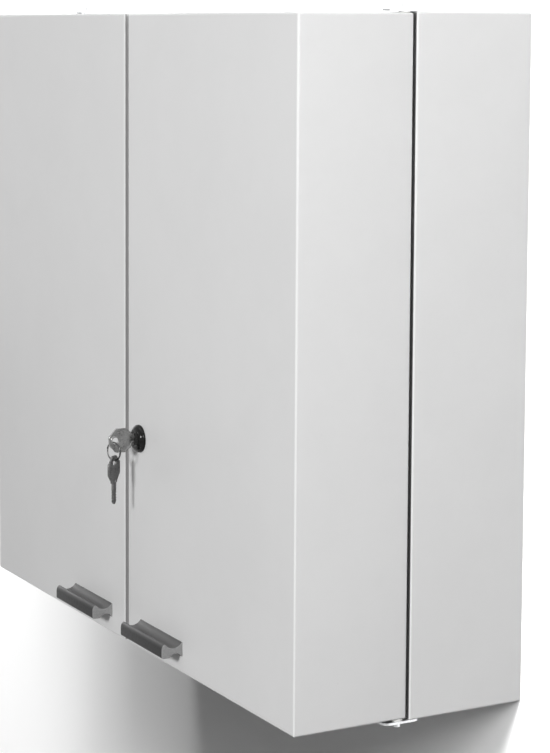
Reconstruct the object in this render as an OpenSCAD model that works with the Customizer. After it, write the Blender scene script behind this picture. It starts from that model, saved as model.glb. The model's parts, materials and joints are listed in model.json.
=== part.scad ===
// Wall-mounted lockable medicine cabinet: a shallow shelf body with two deep pan doors.
// +X is right, -Y is the front, +Z is up. The origin is the centre of the four wall holes,
// on the plane of the wall.

/* [Body] */
// Width of the body and of the closed pair of doors
body_w = 650; // [600:1:700]
// Height of the body
body_h = 600; // [560:1:640]
// Depth of the body that stays on the wall
body_d = 115; // [108:1:125]
// Thickness of the folded sheet of body and doors
sheet_t = 1.2; // [1:0.1:1.4]
// Outer radius of every folded edge
bend_r = 2.4; // [2:0.1:2.8]
// Width of the lips folded inwards round the open sides
lip_w = 14; // [13:0.5:16]
// Depth of the welding flange round the back panel
back_flange_d = 12; // [8:1:16]

/* [Wall fixing] */
// Distance between the wall holes, side to side
wall_hole_x = 520; // [480:1:560]
// Distance between the wall holes, top to bottom
wall_hole_z = 480; // [460:1:500]
// Radius of the wall holes
wall_hole_r = 3.5; // [3:0.25:4.5]

/* [Doors] */
// Depth of the door pans
door_d = 110; // [100:1:120]
// Gap between the body and the doors
rear_gap = 3; // [2.8:0.1:3.6]
// Gap between the two doors
meeting_gap = 7; // [6:0.25:8]
// Gap between a door and its top hinge plate
top_gap = 1.4; // [1.2:0.1:2]
// Gap between a door and its bottom hinge plate
bottom_gap = 2.2; // [1.8:0.1:2.8]

/* [Hinges] */
// Radius of the hinge pins
pin_r = 2; // [1.75:0.05:2.2]
// Radius of the pin heads
pin_head_r = 3; // [2.8:0.1:3.4]
// Height of the pin heads
pin_head_h = 3; // [2.5:0.1:3.6]
// Length of bare pin between the top plate and the pin's head
pin_neck = 2.1; // [1:0.1:3]
// Distance of the hinge axis from the door's side and from its rear edge
hinge_inset = 6; // [5.5:0.1:6.2]
// Thickness of the hinge plates
plate_t = 2; // [1.5:0.1:2.5]
// Width of the hinge plates
plate_w = 20; // [18:0.5:24]
// Length of the hinge plates on the body
plate_rear = 12; // [10:0.5:16]
// Length of the hinge plates past the hinge axis
plate_nose = 15; // [12:0.5:18]
// Radius of the hinge plates' corners
plate_corner_r = 6; // [4:0.5:8]
// Radius of the rivets that hold the plates
rivet_r = 1.6; // [1.4:0.1:1.8]
// Radius of the bushes' sleeves
bush_r = 3.2; // [3:0.1:3.4]
// Radius of the bushes' flanges
bush_flange_r = 5; // [4.6:0.1:5.2]
// Thickness of the brackets that carry the bushes inside the doors
bracket_t = 3; // [2:0.25:4]
// Side of those brackets
bracket_w = 22; // [18:1:28]
// Radial running clearance of the pins and of the lock plug
run_clear = 0.05; // [0.03:0.01:0.08]

/* [Shelves] */
// Spacing of the holes in the shelf uprights
hole_pitch = 25; // [20:1:30]
// Radius of those holes
hole_r = 2.5; // [2.2:0.1:2.8]
// Width of the shelf uprights
upright_w = 18; // [16:1:22]
// Depth of the shelf uprights
upright_d = 6; // [5.5:0.25:8]
// Thickness of the sheet of uprights, shelves and trays
thin_t = 1; // [0.8:0.1:1.2]
// Height of the shelves' folded edges
shelf_edge = 14; // [10:1:18]
// Gap between the shelves and the front lips
shelf_front_gap = 5; // [3:0.5:8]
// Gap between the shelves and the back panel
shelf_rear_gap = 3; // [1:0.5:6]

/* [Door trays] */
// Height of the lower tray above the door's bottom
tray_low = 48; // [44:1:60]
// Height from the lower tray to the middle one
tray_step_1 = 195; // [188:1:205]
// Height from the middle tray to the upper one
tray_step_2 = 185; // [150:1:200]
// Height of the trays' rear edges
tray_edge = 30; // [20:1:40]
// Height of the trays' welding flanges
tray_flange = 12; // [8:1:16]
// Height of the guard rods above their trays
guard_h = 75; // [60:1:90]
// Radius of the guard rods
guard_r = 2; // [1.5:0.25:2.5]

/* [Handles] */
// Length of the handles
handle_len = 88; // [70:1:100]
// Distance of the handles from the middle of the cabinet
handle_x = 32; // [28:1:45]
// Height of the handles' lower edges above the doors' bottom
handle_rise = 16; // [12:1:24]
// How far the handles stand out
handle_d = 21; // [20:0.5:24]
// Height of the handles
handle_h = 13; // [12.5:0.25:15]
// Depth of the finger scoop along the top
scoop_sag = 4.4; // [4:0.1:4.8]
// Depth of the arch along the underside
arch_sag = 3.5; // [3:0.1:3.8]

/* [Lock] */
// Distance of the lock's axis from the middle of the cabinet
lock_x = 29.5; // [27:0.5:33]
// Height of the lock's axis above the body's bottom
lock_rise = 203; // [190:1:205]
// Radius of the rosette
rosette_r = 13; // [12:0.25:14]
// How far the rosette stands out
rosette_h = 6; // [5:0.25:7]
// Radius of the lock's barrel
barrel_r = 9; // [8.5:0.25:10]
// Length of the barrel behind the door's front
barrel_len = 21.5; // [20:0.5:24]
// Radius of the turning plug
plug_r = 5.5; // [5.4:0.05:5.8]
// Reach of the cam from the lock's axis
cam_reach = 42; // [40:0.5:44]
// Width of the cam
cam_w = 14; // [12:0.5:15]
// Thickness of the cam
cam_t = 2.5; // [2:0.25:3]

/* [Keys] */
// Thickness of the keys
key_t = 2; // [1.8:0.1:2.2]
// Half the height of the keys' heads
key_head_r = 11.3; // [10.5:0.1:12]
// Length of the keys' heads
key_head_len = 25.5; // [24:0.5:27]
// Length of the keys' blades
key_blade_len = 20; // [18:0.5:20]
// Height of the keys' blades
key_blade_h = 6.6; // [6:0.1:6.8]
// Radius of the holes in the keys' heads
key_hole_r = 3.2; // [3.1:0.05:3.4]
// Radius of the key ring, to the middle of its wire
ring_r = 8.4; // [8.2:0.1:8.8]
// Radius of the key ring's wire
ring_wire_r = 0.7; // [0.5:0.05:0.75]

/* [Catches] */
// Distance of the magnetic catches from the middle of the cabinet
catch_x = 70; // [60:1:100]
// Length of the catches' housings
catch_w = 44; // [36:1:50]
// Radius of the rubber buffers
buffer_r = 4; // [3:0.25:5]

/* [Hidden] */
$fn = 48;

// How far cutting solids run past the faces they cut
over = 1;
// Radial clearance of pieces that are pressed, riveted or screwed together
press_clear = 0.02;
// Gap between a moving piece and what it comes to rest on
rest_gap = 0.3;
half_w = body_w / 2;
half_h = body_h / 2;
// Inner radius of the folded edges
bend_in = bend_r - sheet_t;
// Planes of the doors, from the wall
door_rear_y = -(body_d + rear_gap);
door_front_y = door_rear_y - door_d;
door_top_z = half_h - top_gap;
door_bottom_z = -half_h + bottom_gap;
// Inner faces of the doors
door_in_front_y = door_front_y + sheet_t;
door_in_rear_y = door_rear_y - sheet_t;
door_in_near_x = meeting_gap / 2 + sheet_t;
door_in_far_x = half_w - sheet_t;
hinge_x = half_w - hinge_inset;
hinge_y = door_rear_y - hinge_inset;
// How far the pins reach past the brackets inside the doors
pin_past = 1.5;

// Shelf uprights
// Bare wall below and above the uprights
upright_end = 12;
upright_z0 = -half_h + sheet_t + upright_end;
upright_len = body_h - 2 * (sheet_t + upright_end);
first_hole = 22;
hole_count = floor((upright_len - 2 * first_hole) / hole_pitch) + 1;
upright_front_y = -(body_d - sheet_t - shelf_front_gap - upright_w / 2);
upright_rear_gap = 2;
upright_rear_y = -(back_flange_d + upright_w / 2 + upright_rear_gap);
web_x = half_w - sheet_t - upright_d;
// Clips: a peg under the shelf, a flange on the upright and a tail in its hole
clip_r = hole_r - 0.1;
clip_flange_r = hole_r + 2;
clip_flange_t = 1.2;
clip_peg = 8;
clip_tail = 3.5;
shelf_side_gap = 0.6;
shelf_half = web_x - clip_flange_t - shelf_side_gap;
// Holes, counted from the bottom, in which the clips of the three shelves sit
shelf_holes = [4, 10, 15];

// Lock
lock_z = -half_h + lock_rise;
plug_face = rosette_h;
plug_head_r = plug_r + 0.7;
plug_head_t = 0.8;
plug_tail = barrel_len + 0.5;
tenon = 6;
cam_front = plug_tail;
keyway_w = key_t + 0.4;
keyway_h = key_blade_h + 0.4;
keyway_depth = key_blade_len + 1;
cam_slot_gap = 1;
nut_t = 4;
nut_flat = 24;
wafer_first = 1.5;
wafer_count = 5;
wafer_step = 2.6;
wafer_t = 1;
wafer_slot = [6, wafer_t + 0.2, 8.6];
wafer_size = [5.8, wafer_t, 8.2];
keeper_t = 1.5;
keeper_edge = 8;

// Keys: the shoulder stops just off the plug's face
key_shoulder = plug_face + rest_gap;
// Distance of the hole from the end of the head
key_hole_edge = 6.5;
key_hole_at = key_head_len - key_hole_edge;
key_hole_y = door_front_y - key_shoulder - key_hole_at;
// The ring's centre from the hole's, and the turn of its plane about the vertical
ring_off = [-0.3, -1.2, -(ring_r + 1.5)];
ring_yaw = 20;
ring_c = [lock_x, key_hole_y, lock_z] + ring_off;
// The spare key hangs on the ring's lowest point, in a plane of its own
spare_yaw = 129;
spare_wire = ring_c - [0, 0, ring_r];
spare_drop = key_hole_r - ring_wire_r - 0.4;

// Catches
catch_d = 12;
catch_h = 11;
catch_gap = 0.4;
catch_z = -half_h + sheet_t + catch_gap + catch_h / 2;
catch_screw_inset = 4;
// Each catch's poles: how far they stop short of its ends, and their outer faces from its middle
pole_end = 7;
pole_w = catch_w - 2 * pole_end;
pole_half = 2.4;
pole_t = 1.6;
// Window of the poles in the body's lip
window_half = 3.2;
window_end = 1;
strike_t = 0.8;
strike_half = 3.4;
strike_end = 2;
pole_front_y = door_rear_y + strike_t + rest_gap;
catch_screw_r = 1.4;

// Doors' screws
screw_r = 1.5;
screw_head_r = 3;
screw_head_t = 2;
screw_bite = 12;
screw_inset = 18;

steel_paint = [0.87, 0.87, 0.87];
zinc = [0.75, 0.76, 0.78];
dark_plastic = [0.2, 0.2, 0.21];
gloss_black = [0.05, 0.05, 0.05];
key_steel = [0.55, 0.55, 0.55];
white_plastic = [0.9, 0.9, 0.88];
brass = [0.72, 0.6, 0.32];
rubber = [0.25, 0.25, 0.25];

// ---- shared shapes ----

// Rectangle from corner a to corner b with corners of radius r
module rounded_rect(a, b, r) {
    size = b - a;
    translate(a + [r, 0]) square([size[0] - 2 * r, size[1]]);
    translate(a + [0, r]) square([size[0], size[1] - 2 * r]);
    for (x = [a[0] + r, b[0] - r], y = [a[1] + r, b[1] - r]) translate([x, y]) circle(r);
}

// Block from corner lo to corner hi whose twelve edges are folded to radius r
module folded_block(lo, hi, r) {
    size = hi - lo;
    intersection() {
        translate([0, 0, lo[2]]) linear_extrude(size[2])
            rounded_rect([lo[0], lo[1]], [hi[0], hi[1]], r);
        translate([0, hi[1], 0]) rotate([90, 0, 0]) linear_extrude(size[1])
            rounded_rect([lo[0], lo[2]], [hi[0], hi[2]], r);
        translate([lo[0], 0, 0]) rotate([90, 0, 90]) linear_extrude(size[0])
            rounded_rect([lo[1], lo[2]], [hi[1], hi[2]], r);
    }
}

// Box from corner lo to corner hi
module block(lo, hi) {
    translate(lo) cube(hi - lo);
}

// Cylinder from a point along -Y, towards the front
module rod_front(at, r, len) {
    translate(at) rotate([90, 0, 0]) cylinder(r = r, h = len);
}

// Cylinder from a point along +X
module rod_x(at, r, len) {
    translate(at) rotate([0, 90, 0]) cylinder(r = r, h = len);
}

// Draws a right-hand piece on the side asked for: -1 is left, 1 is right
module on_side(side) {
    mirror([side < 0 ? 1 : 0, 0, 0]) children();
}

// ---- body ----

module carcase() {
    color(steel_paint) difference() {
        folded_block([-half_w, -body_d, -half_h], [half_w, 2 * bend_r, half_h], bend_r);
        folded_block([-half_w + sheet_t, -body_d + sheet_t, -half_h + sheet_t],
            [half_w - sheet_t, 4 * bend_r, half_h - sheet_t], bend_in);
        // flat rear edge on the wall
        block([-half_w - over, 0, -half_h - over], [half_w + over, 5 * bend_r, half_h + over]);
        // front opening, inside the lips
        block([-half_w + lip_w, -body_d - over, -half_h + lip_w],
            [half_w - lip_w, -body_d + 2 * sheet_t, half_h - lip_w]);
        for (side = [-1, 1]) on_side(side) {
            for (x = rivet_xs(), z = [-half_h - over, half_h - sheet_t - over])
                translate([x, rivet_y(), z]) cylinder(r = rivet_r + press_clear, h = sheet_t + 2 * over);
            // window for the catch's poles and the holes of its screws
            block([catch_x - pole_w / 2 - window_end, -body_d - over, catch_z - window_half],
                [catch_x + pole_w / 2 + window_end, -body_d + 2 * sheet_t, catch_z + window_half]);
            for (dx = catch_screw_dx())
                rod_front([catch_x + dx, -body_d + 2 * sheet_t, catch_z], catch_screw_r + 0.1,
                    2 * sheet_t + over);
        }
    }
}

module back_panel() {
    lo = [-half_w + sheet_t, -half_h + sheet_t];
    wall = [sheet_t, sheet_t];
    color(steel_paint) difference() {
        rotate([90, 0, 0]) linear_extrude(back_flange_d) rounded_rect(lo, -lo, bend_in);
        translate([0, -sheet_t, 0]) rotate([90, 0, 0]) linear_extrude(back_flange_d)
            translate(lo + wall) square([-2 * (lo[0] + sheet_t), -2 * (lo[1] + sheet_t)]);
        for (x = [-1, 1], z = [-1, 1])
            rod_front([x * wall_hole_x / 2, over, z * wall_hole_z / 2], wall_hole_r, sheet_t + 2 * over);
    }
}

function hole_z(i) = upright_z0 + first_hole + i * hole_pitch;

// Hat channel welded to the side wall, with a row of holes in its web
module shelf_upright(side, y) {
    color(steel_paint) on_side(side) difference() {
        translate([web_x, y - upright_w / 2, upright_z0]) cube([upright_d, upright_w, upright_len]);
        translate([web_x + thin_t, y - upright_w / 2 + thin_t, upright_z0 - over])
            cube([upright_d, upright_w - 2 * thin_t, upright_len + 2 * over]);
        for (i = [0:hole_count - 1])
            rod_x([web_x - over, y, hole_z(i)], hole_r, thin_t + 2 * over);
    }
}

// Shelf with four edges folded down, resting on the pegs of its four clips
module shelf(i) {
    z0 = hole_z(shelf_holes[i]) + clip_r;
    front = -(body_d - sheet_t - shelf_front_gap);
    rear = -(sheet_t + shelf_rear_gap);
    color(steel_paint) difference() {
        block([-shelf_half, front, z0], [shelf_half, rear, z0 + shelf_edge]);
        block([-shelf_half + thin_t, front + thin_t, z0 - over],
            [shelf_half - thin_t, rear - thin_t, z0 + shelf_edge - thin_t]);
    }
}

module shelf_clips() {
    color(zinc) for (i = shelf_holes, side = [-1, 1], y = [upright_rear_y, upright_front_y])
        on_side(side) translate([0, y, hole_z(i)]) {
            rod_x([web_x - clip_flange_t - clip_peg, 0, 0], clip_r, clip_peg);
            rod_x([web_x - clip_flange_t, 0, 0], clip_flange_r, clip_flange_t);
            rod_x([web_x, 0, 0], clip_r, clip_tail);
        }
}

// ---- hinges ----

plate_side_gap = 1.5;
plate_x = half_w - plate_side_gap - plate_w;
// Share of the plate's width at which the rivets sit
rivet_share = 0.28;
function rivet_xs() = [plate_x + rivet_share * plate_w, plate_x + (1 - rivet_share) * plate_w];
function rivet_y() = -(body_d - plate_rear / 2);

// Flat plate on the outside of the body that reaches forward over the hinge axis
module hinge_plate(side, z) {
    front = hinge_y - plate_nose;
    color(zinc) on_side(side) difference() {
        translate([0, 0, z]) linear_extrude(plate_t)
            rounded_rect([plate_x, front], [plate_x + plate_w, -body_d + plate_rear],
                plate_corner_r);
        translate([hinge_x, hinge_y, z - over]) cylinder(r = pin_r + press_clear, h = plate_t + 2 * over);
        for (x = rivet_xs())
            translate([x, rivet_y(), z - over]) cylinder(r = rivet_r + press_clear, h = plate_t + 2 * over);
    }
}

// Rivets through the plates and the body's sheet, with a low cone on both ends
module hinge_plate_rivets() {
    grip = plate_t + sheet_t;
    head_r = 1.8 * rivet_r;
    color(zinc) for (side = [-1, 1], up = [0, 1]) on_side(side) mirror([0, 0, 1 - up])
        for (x = rivet_xs()) translate([x, rivet_y(), half_h - sheet_t]) {
            cylinder(r = rivet_r, h = grip);
            translate([0, 0, grip]) cylinder(r1 = head_r, r2 = rivet_r, h = 1.1);
            translate([0, 0, -1]) cylinder(r1 = rivet_r, r2 = head_r, h = 1);
        }
}

// Pin of the top hinges: its head stands a little above the plate
module hinge_pin_top(side) {
    foot = door_top_z - sheet_t - bracket_t - pin_past;
    neck = half_h + plate_t + pin_neck;
    color(zinc) on_side(side) translate([hinge_x, hinge_y, 0]) {
        translate([0, 0, foot]) cylinder(r = pin_r, h = neck - foot);
        translate([0, 0, neck]) cylinder(r = pin_head_r, h = pin_head_h);
    }
}

// Pin of the bottom hinges: its head is tight under the plate
module hinge_pin_bottom(side) {
    tip = door_bottom_z + sheet_t + bracket_t + pin_past;
    base = -half_h - plate_t;
    color(zinc) on_side(side) translate([hinge_x, hinge_y, 0]) {
        translate([0, 0, base]) cylinder(r = pin_r, h = tip - base);
        translate([0, 0, base - pin_head_h]) cylinder(r = pin_head_r, h = pin_head_h);
    }
}

// Brackets inside the door's top and bottom that carry the bushes
module door_brackets(side) {
    color(zinc) on_side(side) for (z = [door_bottom_z + sheet_t, door_top_z - sheet_t - bracket_t])
        difference() {
            block([door_in_far_x - bend_in - bracket_w, door_in_rear_y - bend_in - bracket_w, z],
                [door_in_far_x - bend_in, door_in_rear_y - bend_in, z + bracket_t]);
            translate([hinge_x, hinge_y, z - over])
                cylinder(r = bush_r + press_clear, h = bracket_t + 2 * over);
        }
}

// Flanged bushes: the flanges run on the hinge plates, the sleeves on the pins
module door_bushes(side) {
    sleeve = sheet_t + bracket_t;
    color(white_plastic) on_side(side) translate([hinge_x, hinge_y, 0]) {
        translate([0, 0, door_top_z]) bush(top_gap - rest_gap / 2, sleeve);
        translate([0, 0, door_bottom_z]) mirror([0, 0, 1]) bush(bottom_gap - rest_gap / 2, sleeve);
    }
}

module bush(flange_t, sleeve) {
    difference() {
        union() {
            cylinder(r = bush_flange_r, h = flange_t);
            translate([0, 0, -sleeve]) cylinder(r = bush_r, h = sleeve);
        }
        translate([0, 0, -sleeve - over]) cylinder(r = pin_r + run_clear, h = sleeve + flange_t + 2 * over);
    }
}

// ---- doors ----

// Heights of the cam's slot in a wall at distance d from the lock's axis
function slot_low(d) = sqrt(pow(cam_reach, 2) - pow(d, 2)) + cam_slot_gap;
slot_high = cam_w / 2 + cam_slot_gap;
slot_front_y = door_front_y + cam_front - cam_slot_gap;
slot_rear_y = door_front_y + cam_front + cam_t + cam_slot_gap;

module cam_slot(x0, x1, d) {
    block([x0, slot_front_y, lock_z - slot_low(d)], [x1, slot_rear_y, lock_z + slot_high]);
}

// Deep pan with lips folded inwards round its rear opening
module door_shell(side) {
    color(steel_paint) difference() {
        on_side(side) difference() {
            folded_block([meeting_gap / 2, door_front_y, door_bottom_z],
                [half_w, door_rear_y, door_top_z], bend_r);
            folded_block([door_in_near_x, door_in_front_y, door_bottom_z + sheet_t],
                [door_in_far_x, door_in_rear_y, door_top_z - sheet_t], bend_in);
            block([meeting_gap / 2 + lip_w, door_rear_y - 2 * sheet_t, door_bottom_z + lip_w],
                [half_w - lip_w, door_rear_y + over, door_top_z - lip_w]);
            for (z = [door_bottom_z - over, door_top_z - sheet_t - over])
                translate([hinge_x, hinge_y, z])
                    cylinder(r = bush_r + press_clear, h = sheet_t + 2 * over);
            for (x = handle_screw_xs())
                rod_front([x, door_in_front_y + over, handle_screw_z()], screw_r + 0.1, sheet_t + 2 * over);
        }
        if (side > 0) {
            rod_front([lock_x, door_in_front_y + over, lock_z], barrel_r + 0.1, sheet_t + 2 * over);
            cam_slot(meeting_gap / 2 - over, door_in_near_x + over, lock_x - door_in_near_x);
        } else
            cam_slot(-door_in_near_x - over, -meeting_gap / 2 + over, lock_x + meeting_gap / 2);
    }
}

function tray_z(i) = door_bottom_z + tray_low + (i > 0 ? tray_step_1 : 0) + (i > 1 ? tray_step_2 : 0);
tray_rear_gap = 2.3;
tray_rear_y = door_in_rear_y - tray_rear_gap;

// Tray across the door: floor, flange welded to the door's front and a high rear edge
module door_tray(side, i) {
    x0 = door_in_near_x + bend_in;
    x1 = door_in_far_x - bend_in;
    color(steel_paint) on_side(side) translate([0, 0, tray_z(i)]) {
        block([x0, door_in_front_y, 0], [x1, tray_rear_y, thin_t]);
        block([x0, door_in_front_y, 0], [x1, door_in_front_y + thin_t, tray_flange]);
        block([x0, tray_rear_y - thin_t, 0], [x1, tray_rear_y, tray_edge]);
    }
}

module door_guard_rods(side) {
    color(zinc) on_side(side) for (i = [0:2])
        rod_x([door_in_near_x, tray_rear_y - guard_r, tray_z(i) + guard_h], guard_r,
            door_in_far_x - door_in_near_x);
}

// ---- handles ----

function handle_screw_xs() = [handle_x + screw_inset, handle_x + handle_len - screw_inset];
function handle_screw_z() = door_bottom_z + handle_rise + handle_h / 2 + (arch_sag - scoop_sag) / 2;
// Radius of the arc with a given chord and sag
function arc_r(chord, sag) = (pow(chord, 2) / 4 + pow(sag, 2)) / (2 * sag);

// Section of the grip, out from the door along x and up along y
module handle_section() {
    flange = 0.8;
    lip_t = 4;
    arch_w = 12.2;
    scoop_w = handle_d - lip_t - flange;
    scoop_r = arc_r(scoop_w, scoop_sag);
    arch_r = arc_r(arch_w, arch_sag);
    difference() {
        union() {
            square([handle_d / 2, handle_h]);
            rounded_rect([0, 0], [handle_d, handle_h], lip_t / 2);
        }
        translate([flange + scoop_w / 2, handle_h - scoop_sag + scoop_r]) circle(scoop_r, $fn = 96);
        translate([flange + arch_w / 2, arch_sag - arch_r]) circle(arch_r, $fn = 96);
    }
}

module handle(side) {
    color(dark_plastic) on_side(side) difference() {
        translate([handle_x + handle_len, door_front_y, door_bottom_z + handle_rise])
            rotate([90, 0, -90]) linear_extrude(handle_len) handle_section();
        for (x = handle_screw_xs())
            rod_front([x, door_front_y + over, handle_screw_z()], screw_r, screw_bite + over);
    }
}

module handle_screws(side) {
    color(zinc) on_side(side) for (x = handle_screw_xs()) {
        rod_front([x, door_in_front_y, handle_screw_z()], screw_r, sheet_t + screw_bite - 0.5);
        rod_front([x, door_in_front_y + screw_head_t, handle_screw_z()], screw_head_r, screw_head_t);
    }
}

// ---- catches and buffers ----

function catch_screw_dx() = [-(catch_w / 2 - catch_screw_inset), catch_w / 2 - catch_screw_inset];

module magnet_catch(side) {
    color(white_plastic) on_side(side) difference() {
        translate([catch_x - catch_w / 2, -body_d + sheet_t, catch_z - catch_h / 2])
            cube([catch_w, catch_d, catch_h]);
        block([catch_x - pole_w / 2, -body_d, catch_z - pole_half],
            [catch_x + pole_w / 2, -body_d + sheet_t + catch_d - 2, catch_z + pole_half]);
        for (dx = catch_screw_dx())
            rod_front([catch_x + dx, -body_d + sheet_t + 9, catch_z], catch_screw_r, 9 + over);
    }
}

// Two steel poles in each catch, which stand out through the body's lip
module catch_poles() {
    rear = -body_d + sheet_t + catch_d - 2;
    color(zinc) for (side = [-1, 1]) on_side(side) for (z = [-pole_half, pole_half - pole_t])
        block([catch_x - pole_w / 2, pole_front_y, catch_z + z],
            [catch_x + pole_w / 2, rear, catch_z + z + pole_t]);
}

module catch_screws() {
    color(zinc) for (side = [-1, 1]) on_side(side) for (dx = catch_screw_dx()) {
        rod_front([catch_x + dx, -body_d + sheet_t + 8, catch_z], catch_screw_r, sheet_t + 8);
        rod_front([catch_x + dx, -body_d, catch_z], catch_screw_r + 1.2, 1.2);
    }
}

module strike_plate(side) {
    color(zinc) on_side(side)
        block([catch_x - pole_w / 2 - strike_end, door_rear_y, catch_z - strike_half],
            [catch_x + pole_w / 2 + strike_end, door_rear_y + strike_t, catch_z + strike_half]);
}

module door_buffers() {
    x = meeting_gap / 2 + lip_w + buffer_r;
    color(rubber) for (side = [-1, 1], z = [-1, 1]) on_side(side)
        rod_front([x, -body_d, z * (half_h - lip_w / 2 - 0.5)], buffer_r, rear_gap - rest_gap);
}

// ---- lock ----

// Places a lock piece: its x stays, its y is up and its z points out of the door
module at_lock() {
    translate([lock_x, door_front_y, lock_z]) rotate([90, 0, 0]) children();
}

// Half outline of the rosette: a flat rim, then an arc up to the face round the plug
rosette_rim = 0.9;
rosette_land = 1.3;
rosette_face_r = plug_head_r + rosette_land;
rosette_steps = 10;
function rosette_arc(i) =
    let (a = 90 * i / rosette_steps)
    [rosette_face_r + (rosette_r - rosette_face_r) * cos(a),
     rosette_rim + (rosette_h - rosette_rim) * sin(a)];

module lock_housing() {
    color(gloss_black) at_lock() difference() {
        union() {
            rotate_extrude() polygon(concat([[0, 0], [rosette_r, 0]],
                [for (i = [0:rosette_steps]) rosette_arc(i)], [[0, rosette_h]]));
            translate([0, 0, -barrel_len]) cylinder(r = barrel_r, h = barrel_len);
        }
        translate([0, 0, -barrel_len - over])
            cylinder(r = plug_r + run_clear, h = barrel_len + rosette_h + 2 * over);
        translate([0, 0, plug_face - plug_head_t - run_clear])
            cylinder(r = plug_head_r + run_clear, h = plug_head_t + over);
    }
}

module lock_nut() {
    color(zinc) at_lock() translate([0, 0, -sheet_t - nut_t]) difference() {
        cylinder(d = nut_flat / cos(30), h = nut_t, $fn = 6);
        translate([0, 0, -over]) cylinder(r = barrel_r + press_clear, h = nut_t + 2 * over);
    }
}

function wafer_z(i) = -wafer_first - i * wafer_step;

module lock_plug() {
    color(zinc) at_lock() difference() {
        union() {
            translate([0, 0, -plug_tail]) cylinder(r = plug_r, h = plug_tail + plug_face);
            translate([0, 0, plug_face - plug_head_t]) cylinder(r = plug_head_r, h = plug_head_t);
            translate([-tenon / 2, -tenon / 2, -plug_tail - cam_t]) cube([tenon, tenon, cam_t + over]);
        }
        translate([-keyway_w / 2, -keyway_h / 2, plug_face - keyway_depth])
            cube([keyway_w, keyway_h, keyway_depth + over]);
        for (i = [0:wafer_count - 1])
            translate([-wafer_slot[0] / 2, -wafer_slot[2] / 2, wafer_z(i) - wafer_slot[1] / 2])
                cube([wafer_slot[0], wafer_slot[2], wafer_slot[1]]);
        translate([0, 0, -plug_tail - cam_t - over]) cylinder(r = screw_r, h = cam_t + 5 + over);
    }
}

// Plate wafers round the key's blade, with one corner cut away for the spring
module lock_wafers() {
    window = [keyway_w + 0.4, keyway_h + 0.2];
    color(brass) at_lock() for (i = [0:wafer_count - 1])
        translate([0, 0, wafer_z(i) - wafer_t / 2]) linear_extrude(wafer_t) difference() {
            square([wafer_size[0], wafer_size[2]], center = true);
            square(window, center = true);
            translate([window[0] / 2 - 0.1, 1]) square([3, 4]);
        }
}

module wafer_springs() {
    spring_r = 0.4;
    color(key_steel) at_lock() for (i = [0:wafer_count - 1])
        translate([keyway_w / 2 + 0.8, 1.05, wafer_z(i)]) rotate([-90, 0, 0])
            cylinder(r = spring_r, h = wafer_slot[2] / 2 - 1.1);
}

// Cam on the plug's tenon: it hangs down when unlocked and turns a quarter turn to lock
module lock_cam() {
    color(zinc) at_lock() translate([0, 0, -cam_front - cam_t]) linear_extrude(cam_t) difference() {
        union() {
            circle(cam_w / 2 + 1);
            translate([-cam_w / 2, -(cam_reach - cam_w / 2)]) square([cam_w, cam_reach - cam_w / 2]);
            translate([0, -(cam_reach - cam_w / 2)]) circle(cam_w / 2);
        }
        square(tenon + 2 * press_clear, center = true);
    }
}

module cam_screw() {
    color(zinc) at_lock() {
        translate([0, 0, -cam_front - cam_t - 2]) cylinder(r = 4.5, h = 2);
        translate([0, 0, -cam_front - cam_t]) cylinder(r = screw_r, h = cam_t + 4);
    }
}

// Plate behind the left door's slot, which the turned cam hooks behind
module lock_keeper() {
    x1 = -door_in_near_x;
    d = lock_x + meeting_gap / 2;
    color(zinc) difference() {
        block([x1 - keeper_t, slot_front_y - keeper_edge, lock_z - slot_low(d) - keeper_edge],
            [x1, slot_rear_y + keeper_edge, lock_z + slot_high + keeper_edge]);
        cam_slot(x1 - keeper_t - over, x1 + over, d);
    }
}

// ---- keys ----

// Outline of a key: the head along +x from its shoulder, the blade along -x
module key_outline() {
    // half heights of the head at its neck and at its end, and the lengths of its three stretches
    neck = 5.2;
    front = 3.9;
    neck_len = 1.5;
    flank_end = 8;
    taper_len = 7;
    half = [[0, neck], [neck_len, neck], [flank_end, key_head_r],
        [key_head_len - taper_len, key_head_r], [key_head_len, front]];
    tip_len = 3;
    tip_half = 1;
    // shallowest cut and the step from one depth to the next
    cut_least = 0.5;
    cut_step = 0.25;
    difference() {
        union() {
            polygon(concat([for (p = half) [p[0], -p[1]]], [for (i = [len(half) - 1:-1:0]) half[i]]));
            translate([-key_blade_len + tip_len, -key_blade_h / 2])
                square([key_blade_len - tip_len + over, key_blade_h]);
            polygon([[-key_blade_len + tip_len, -key_blade_h / 2],
                [-key_blade_len + tip_len, key_blade_h / 2],
                [-key_blade_len, tip_half], [-key_blade_len, -tip_half]]);
        }
        translate([key_hole_at, 0]) circle(key_hole_r);
        // cuts of the bitting, on both edges
        for (i = [0:wafer_count - 1]) {
            x = -key_shoulder + wafer_z(i);
            up = cut_least + cut_step * ((i * 3) % 4);
            down = cut_least + cut_step * ((i * 2 + 1) % 4);
            translate([x, key_blade_h / 2]) key_cut(up);
            translate([x, -key_blade_h / 2]) mirror([0, 1]) key_cut(down);
        }
    }
}

// One cut of the bitting, open at the top
module key_cut(depth) {
    bottom_half = 0.3;
    top_half = 0.9;
    polygon([[-top_half, over], [-bottom_half, -depth], [bottom_half, -depth], [top_half, over]]);
}

module key_plate() {
    translate([0, 0, -key_t / 2]) linear_extrude(key_t) key_outline();
}

module key_in_lock() {
    color(key_steel) translate([lock_x, door_front_y - key_shoulder, lock_z])
        rotate([90, 0, -90]) key_plate();
}

module key_ring() {
    color(key_steel) translate(ring_c) rotate([0, 0, ring_yaw]) rotate([90, 0, 0])
        rotate_extrude($fn = 64) translate([ring_r, 0]) circle(ring_wire_r, $fn = 24);
}

module spare_key() {
    color(key_steel) translate(spare_wire - [0, 0, spare_drop]) rotate([0, 0, spare_yaw - 90])
        rotate([0, -90, 0]) translate([-key_hole_at, 0, 0]) key_plate();
}

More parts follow.
